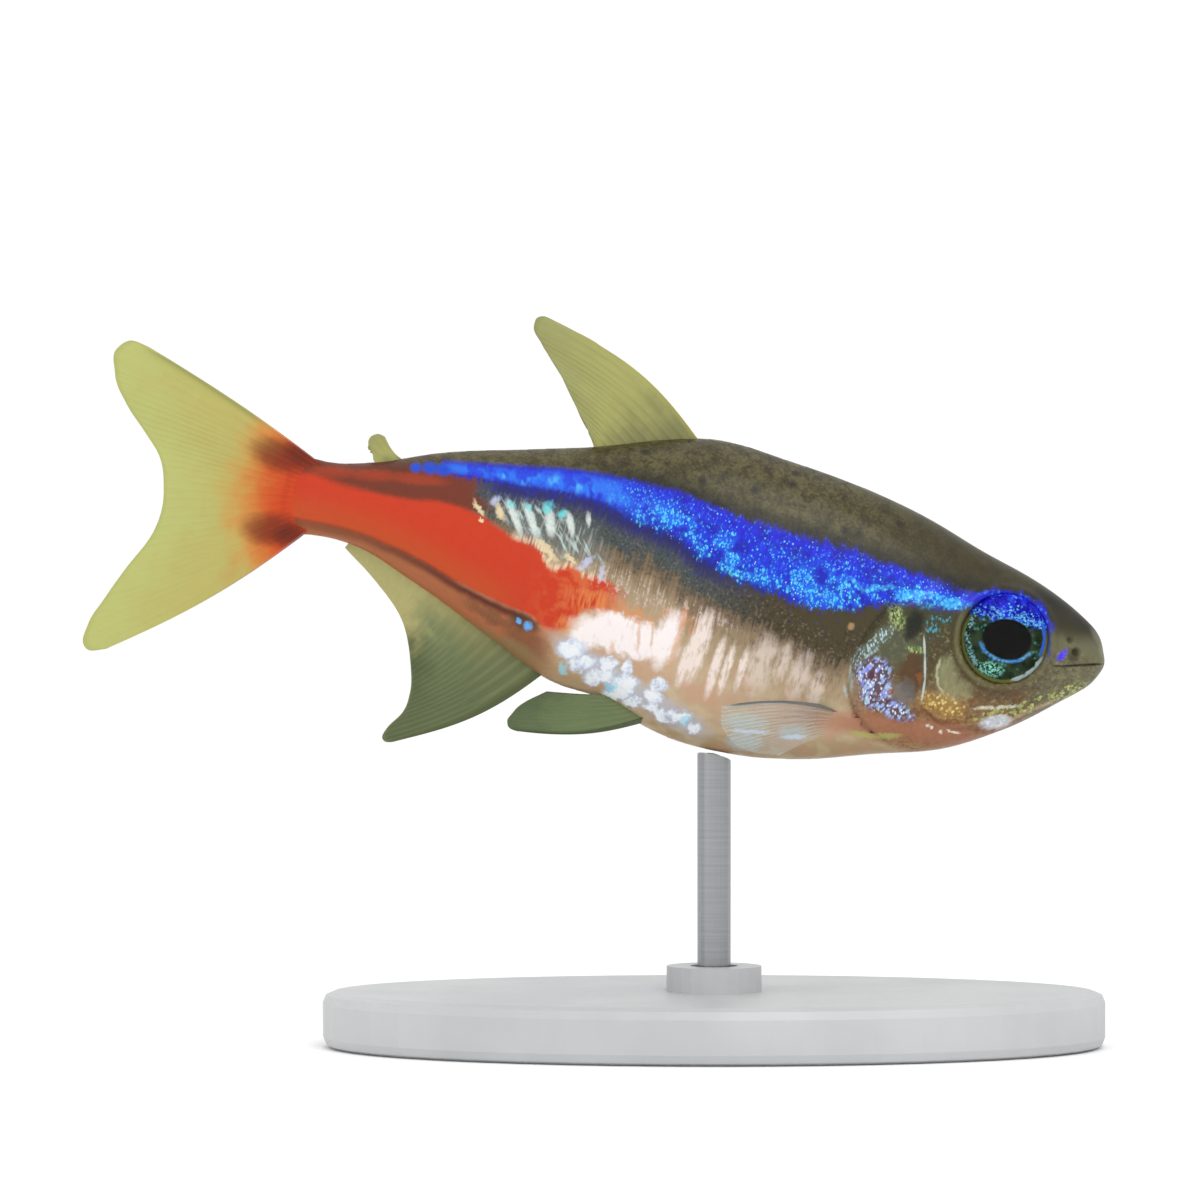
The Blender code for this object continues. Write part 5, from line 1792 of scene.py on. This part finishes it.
class Fins:
    """Every fin of the fish."""

    olive = FinColours(
        root=seen(136, 136, 92), middle=seen(176, 175, 108), tip=seen(164, 165, 108), ray=seen(122, 120, 80),
        lead=seen(178, 172, 98),
    )
    green = FinColours(
        root=seen(178, 166, 110), middle=seen(120, 132, 94), tip=seen(82, 92, 63), ray=seen(140, 148, 106),
        lead=seen(84, 92, 62), front=seen(98, 108, 76), rear=seen(186, 178, 120),
    )
    dark_green = FinColours(
        root=seen(120, 130, 92), middle=seen(112, 126, 88), tip=seen(94, 106, 76), ray=seen(88, 102, 70),
        lead=seen(78, 92, 60),
    )
    yellow = FinColours(
        root=seen(206, 150, 84), middle=seen(194, 186, 110), tip=seen(194, 198, 122), ray=seen(164, 162, 98),
        lead=seen(150, 150, 88), ray_share=0.22, blush=True,
    )
    clear = FinColours(
        root=seen(200, 180, 150), middle=seen(206, 212, 205), tip=seen(200, 206, 196),
        ray=seen(232, 240, 244), lead=seen(44, 36, 26), alpha=0.10, ray_share=0.7,
    )

    def __init__(self, body: Body) -> None:
        """Args: body: the fish."""
        self.body = body

    def dorsal(self) -> Fin:
        """The back fin."""
        return Fin(
            name="dorsal_fin_membrane",
            root=flat((0.0, 15.5, 4.6), (0.5, 17.6, 4.1), (1.0, 19.25, 3.5)),
            tips=flat(
                (0.0, 21.90, 7.98), (0.035, 22.14, 8.10), (0.075, 22.37, 8.00), (0.12, 22.42, 7.72),
                (0.25, 22.02, 7.15), (0.5, 21.10, 6.15), (0.78, 20.10, 4.85), (1.0, 19.45, 4.05),
            ),
            rays=11, slot="fin_dorsal", nodes=("dorsal_fin",), bow=0.62, ripple=0.05,
        )

    def adipose(self) -> Fin:
        """The small fleshy fin behind the back fin, curled backwards."""
        return Fin(
            name="adipose_fin_lobe",
            root=flat((0.0, 25.7, 1.95), (1.0, 26.85, 1.7)),
            tips=flat(
                (0.0, 26.86, 2.74), (0.25, 27.12, 2.78), (0.5, 27.36, 2.60), (0.75, 27.36, 2.32),
                (1.0, 27.10, 2.10),
            ),
            rays=3, slot="fin_dorsal", nodes=("adipose_fin",), bow=-0.16, bow_last=-0.12, thick_root=0.42,
            thick_edge=0.16, rows=24,
        )

    def anal(self) -> Fin:
        """The long fin under the tail."""
        return Fin(
            name="anal_fin_membrane",
            root=flat((0.0, 19.35, -4.2), (0.35, 22.2, -3.0), (0.7, 25.0, -1.8), (1.0, 27.2, -1.0)),
            tips=flat(
                (0.0, 24.28, -7.88), (0.03, 24.55, -7.97), (0.07, 24.74, -7.82), (0.11, 24.62, -7.45),
                (0.17, 24.24, -6.90), (0.28, 24.08, -6.10), (0.42, 24.28, -5.05), (0.6, 24.85, -3.65),
                (0.8, 26.00, -2.50), (1.0, 27.44, -1.45),
            ),
            rays=20, slot="fin_anal", nodes=("anal_fin",), bow=-0.42, ripple=0.05, ray_relief=0.02,
        )

    def tail(self) -> Fin:
        """The forked tail fin, both lobes in one membrane."""
        return Fin(
            name="tail_fin_membrane",
            root=flat((0.0, 28.9, 1.3), (0.5, 29.2, 0.05), (1.0, 28.9, -1.15)),
            tips=flat(
                (0.0, 35.95, 4.20), (0.025, 36.60, 4.30), (0.055, 37.06, 3.90), (0.11, 36.95, 3.05),
                (0.21, 36.30, 2.02), (0.31, 35.42, 1.14), (0.41, 34.72, 0.37), (0.50, 34.40, -0.45),
                (0.57, 34.26, -1.35), (0.65, 34.42, -2.40), (0.75, 35.12, -3.85), (0.84, 35.66, -5.10),
                (0.91, 36.02, -6.05), (0.945, 36.08, -6.72), (0.975, 35.75, -6.98), (1.0, 35.20, -6.80),
            ),
            rays=19, slot="fin_tail", nodes=("tail_fin_upper", "tail_fin_lower"), bow=0.12, bow_last=-0.3,
            cup=0.3, ripple=0.05,
        )

    def pectoral(self, flank: Flank) -> Fin:
        """A breast fin. Args: flank: its side."""
        return Fin(
            name=f"pectoral_fin_membrane_{flank.word}",
            root=spread(flank, (0.0, 8.9, -3.5, 1.45), (1.0, 9.25, -4.3, 1.0)),
            tips=spread(
                flank,
                (0.0, 13.15, -4.20, 2.95), (0.3, 12.95, -4.95, 2.75), (0.65, 12.10, -5.52, 2.45),
                (1.0, 10.75, -5.50, 2.0),
            ),
            rays=10, slot="fin_paired", nodes=(f"pectoral_fin_{flank.word}",), bow=0.25, flare=2.6,
            thick_root=0.3,
        )

    def pelvic(self, flank: Flank) -> Fin:
        """A belly fin. Args: flank: its side."""
        return Fin(
            name=f"pelvic_fin_membrane_{flank.word}",
            root=spread(flank, (0.0, 15.5, -5.2, 0.45), (1.0, 16.6, -4.7, 0.3)),
            tips=spread(
                flank,
                (0.0, 20.05, -6.56, 1.5), (0.07, 20.32, -6.52, 1.45), (0.16, 20.44, -6.32, 1.38),
                (0.3, 20.34, -6.05, 1.3), (0.6, 20.05, -5.65, 1.1), (1.0, 19.30, -5.05, 0.8),
            ),
            rays=8, slot="fin_paired", nodes=(f"pelvic_fin_{flank.word}",), bow=-0.3, flare=1.5,
            thick_root=0.4,
        )

    def build(self) -> None:
        """Makes every fin with its finish."""
        dressed = [
            (self.dorsal(), self.olive),
            (self.adipose(), self.olive),
            (self.anal(), self.green),
            (self.tail(), self.yellow),
        ]
        for flank in Flank:
            dressed += [(self.pectoral(flank), self.clear), (self.pelvic(flank), self.dark_green)]
        for fin, colours in dressed:
            finish = FinFinish(f"{fin.name}_skin", self.body, colours, fin.rays)
            fin.build(self.body, finish.material)


@dataclass
class Stand:
    """The stand keeps its CAD nodes, with finished materials."""

    finish: StandFinish

    def dress(self) -> None:
        """Gives each node of the stand its material."""
        for node, material in (("stand_base", self.finish.base), ("stand_rod", self.finish.rod)):
            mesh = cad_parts[node].data
            mesh.materials.clear()
            mesh.materials.append(material)
            log.info("%s: dressed", node)


@dataclass
class Studio:
    """Pale sweep, soft lights and the camera at the fish's right side."""

    centre: Point = (-0.00408, 0.01598)
    view_width: float = 0.04293
    lens: float = 150.0
    sensor: float = 36.0
    fish: Spot = (0.0, 0.0, 0.014)
    wall: Spot = (0.0, 0.6, 0.02)
    floor_size: float = 1.2
    wall_height: float = 0.6
    bend: float = 0.25
    bend_steps: int = 16

    def build(self) -> None:
        """Makes the floor, the lights, the surroundings and the camera."""
        self._floor()
        self._light("key", (0.05, -0.16, 0.16), self.fish, 0.10, 0.16)
        self._light("fill", (-0.12, -0.14, 0.06), self.fish, 0.14, 0.03)
        self._light("top", (0.0, 0.03, 0.20), self.fish, 0.16, 0.05)
        self._light("backdrop", (0.0, 0.30, 0.30), self.wall, 0.30, 0.12)
        self._surroundings()
        self._camera()
        bpy.context.scene.view_settings.view_transform = "Standard"

    def _floor(self) -> None:
        """A floor that curves up into a backdrop."""
        start_primitive()
        bpy.ops.mesh.primitive_plane_add(size=self.floor_size)
        floor = bpy.context.object
        floor.name = "studio_sweep"
        bench = Bench("studio_paper")
        at = bench.here()
        shade = bench.noise(at, 60.0, 3.0)
        paper = bench.mix(shade, (0.90, 0.90, 0.90, 1.0), (0.94, 0.94, 0.94, 1.0))
        bench.set(Base_Color=paper, Roughness=0.9, Specular_IOR_Level=0.1)
        floor.data.materials.append(bench.material)
        bpy.ops.object.mode_set(mode="EDIT")
        bpy.ops.mesh.select_all(action="DESELECT")
        bpy.ops.object.mode_set(mode="OBJECT")
        far = max(vertex.co.y for vertex in floor.data.vertices)
        for edge in floor.data.edges:
            edge.select = all(floor.data.vertices[v].co.y > far - 1e-6 for v in edge.vertices)
        bpy.ops.object.mode_set(mode="EDIT")
        bpy.ops.mesh.extrude_region_move(TRANSFORM_OT_translate={"value": (0.0, 0.0, self.wall_height)})
        bpy.ops.mesh.select_all(action="SELECT")
        bpy.ops.object.mode_set(mode="OBJECT")
        bend = floor.modifiers.new("sweep", "BEVEL")
        bend.width = self.bend
        bend.segments = self.bend_steps
        apply_modifiers(floor)
        bpy.ops.object.shade_smooth_by_angle(angle=math.radians(60))

    @staticmethod
    def _light(name: str, place: Spot, target: Spot, size: float, power: float) -> None:
        """A soft square light turned to its target, of a size in metres and a power in watts."""
        light = bpy.data.lights.new(name, "AREA")
        light.size = size
        light.energy = power
        lamp = bpy.data.objects.new(name, light)
        lamp.location = place
        aim = Vector(target) - Vector(place)
        lamp.rotation_euler = aim.to_track_quat("-Z", "Y").to_euler()
        bpy.context.scene.collection.objects.link(lamp)

    @staticmethod
    def _surroundings() -> None:
        """An even pale glow all round."""
        world = bpy.data.worlds.new("studio_glow")
        world.use_nodes = True
        glow = world.node_tree.nodes["Background"]
        glow.inputs["Color"].default_value = (1.0, 1.0, 1.0, 1.0)
        glow.inputs["Strength"].default_value = 1.0
        bpy.context.scene.world = world

    def _camera(self) -> None:
        """A long lens square to the fish's right side."""
        camera = bpy.data.cameras.new("camera")
        camera.lens = self.lens
        camera.sensor_width = self.sensor
        camera.clip_start = 0.001
        eye = bpy.data.objects.new("camera", camera)
        distance = self.view_width * self.lens / self.sensor
        eye.location = (self.centre[0], -distance, self.centre[1])
        eye.rotation_euler = (math.pi / 2, 0.0, 0.0)
        bpy.context.scene.collection.objects.link(eye)
        bpy.context.scene.camera = eye


def main() -> None:
    """Builds the fish, its stand and the studio."""
    logging.basicConfig(level=logging.INFO, format="%(name)s %(message)s")
    body = Body()
    finish = SkinFinish("fish_skin", body)
    Skin(body).build(finish.material)
    for flank in Flank:
        ScaleCoat(body, flank).build(finish.material)
    eyes = EyeFinish(body)
    for flank in Flank:
        Eye(body, flank).build(eyes)
    Fins(body).build()
    Stand(StandFinish()).dress()
    Studio().build()
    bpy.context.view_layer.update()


if __name__ == "__main__":
    main()
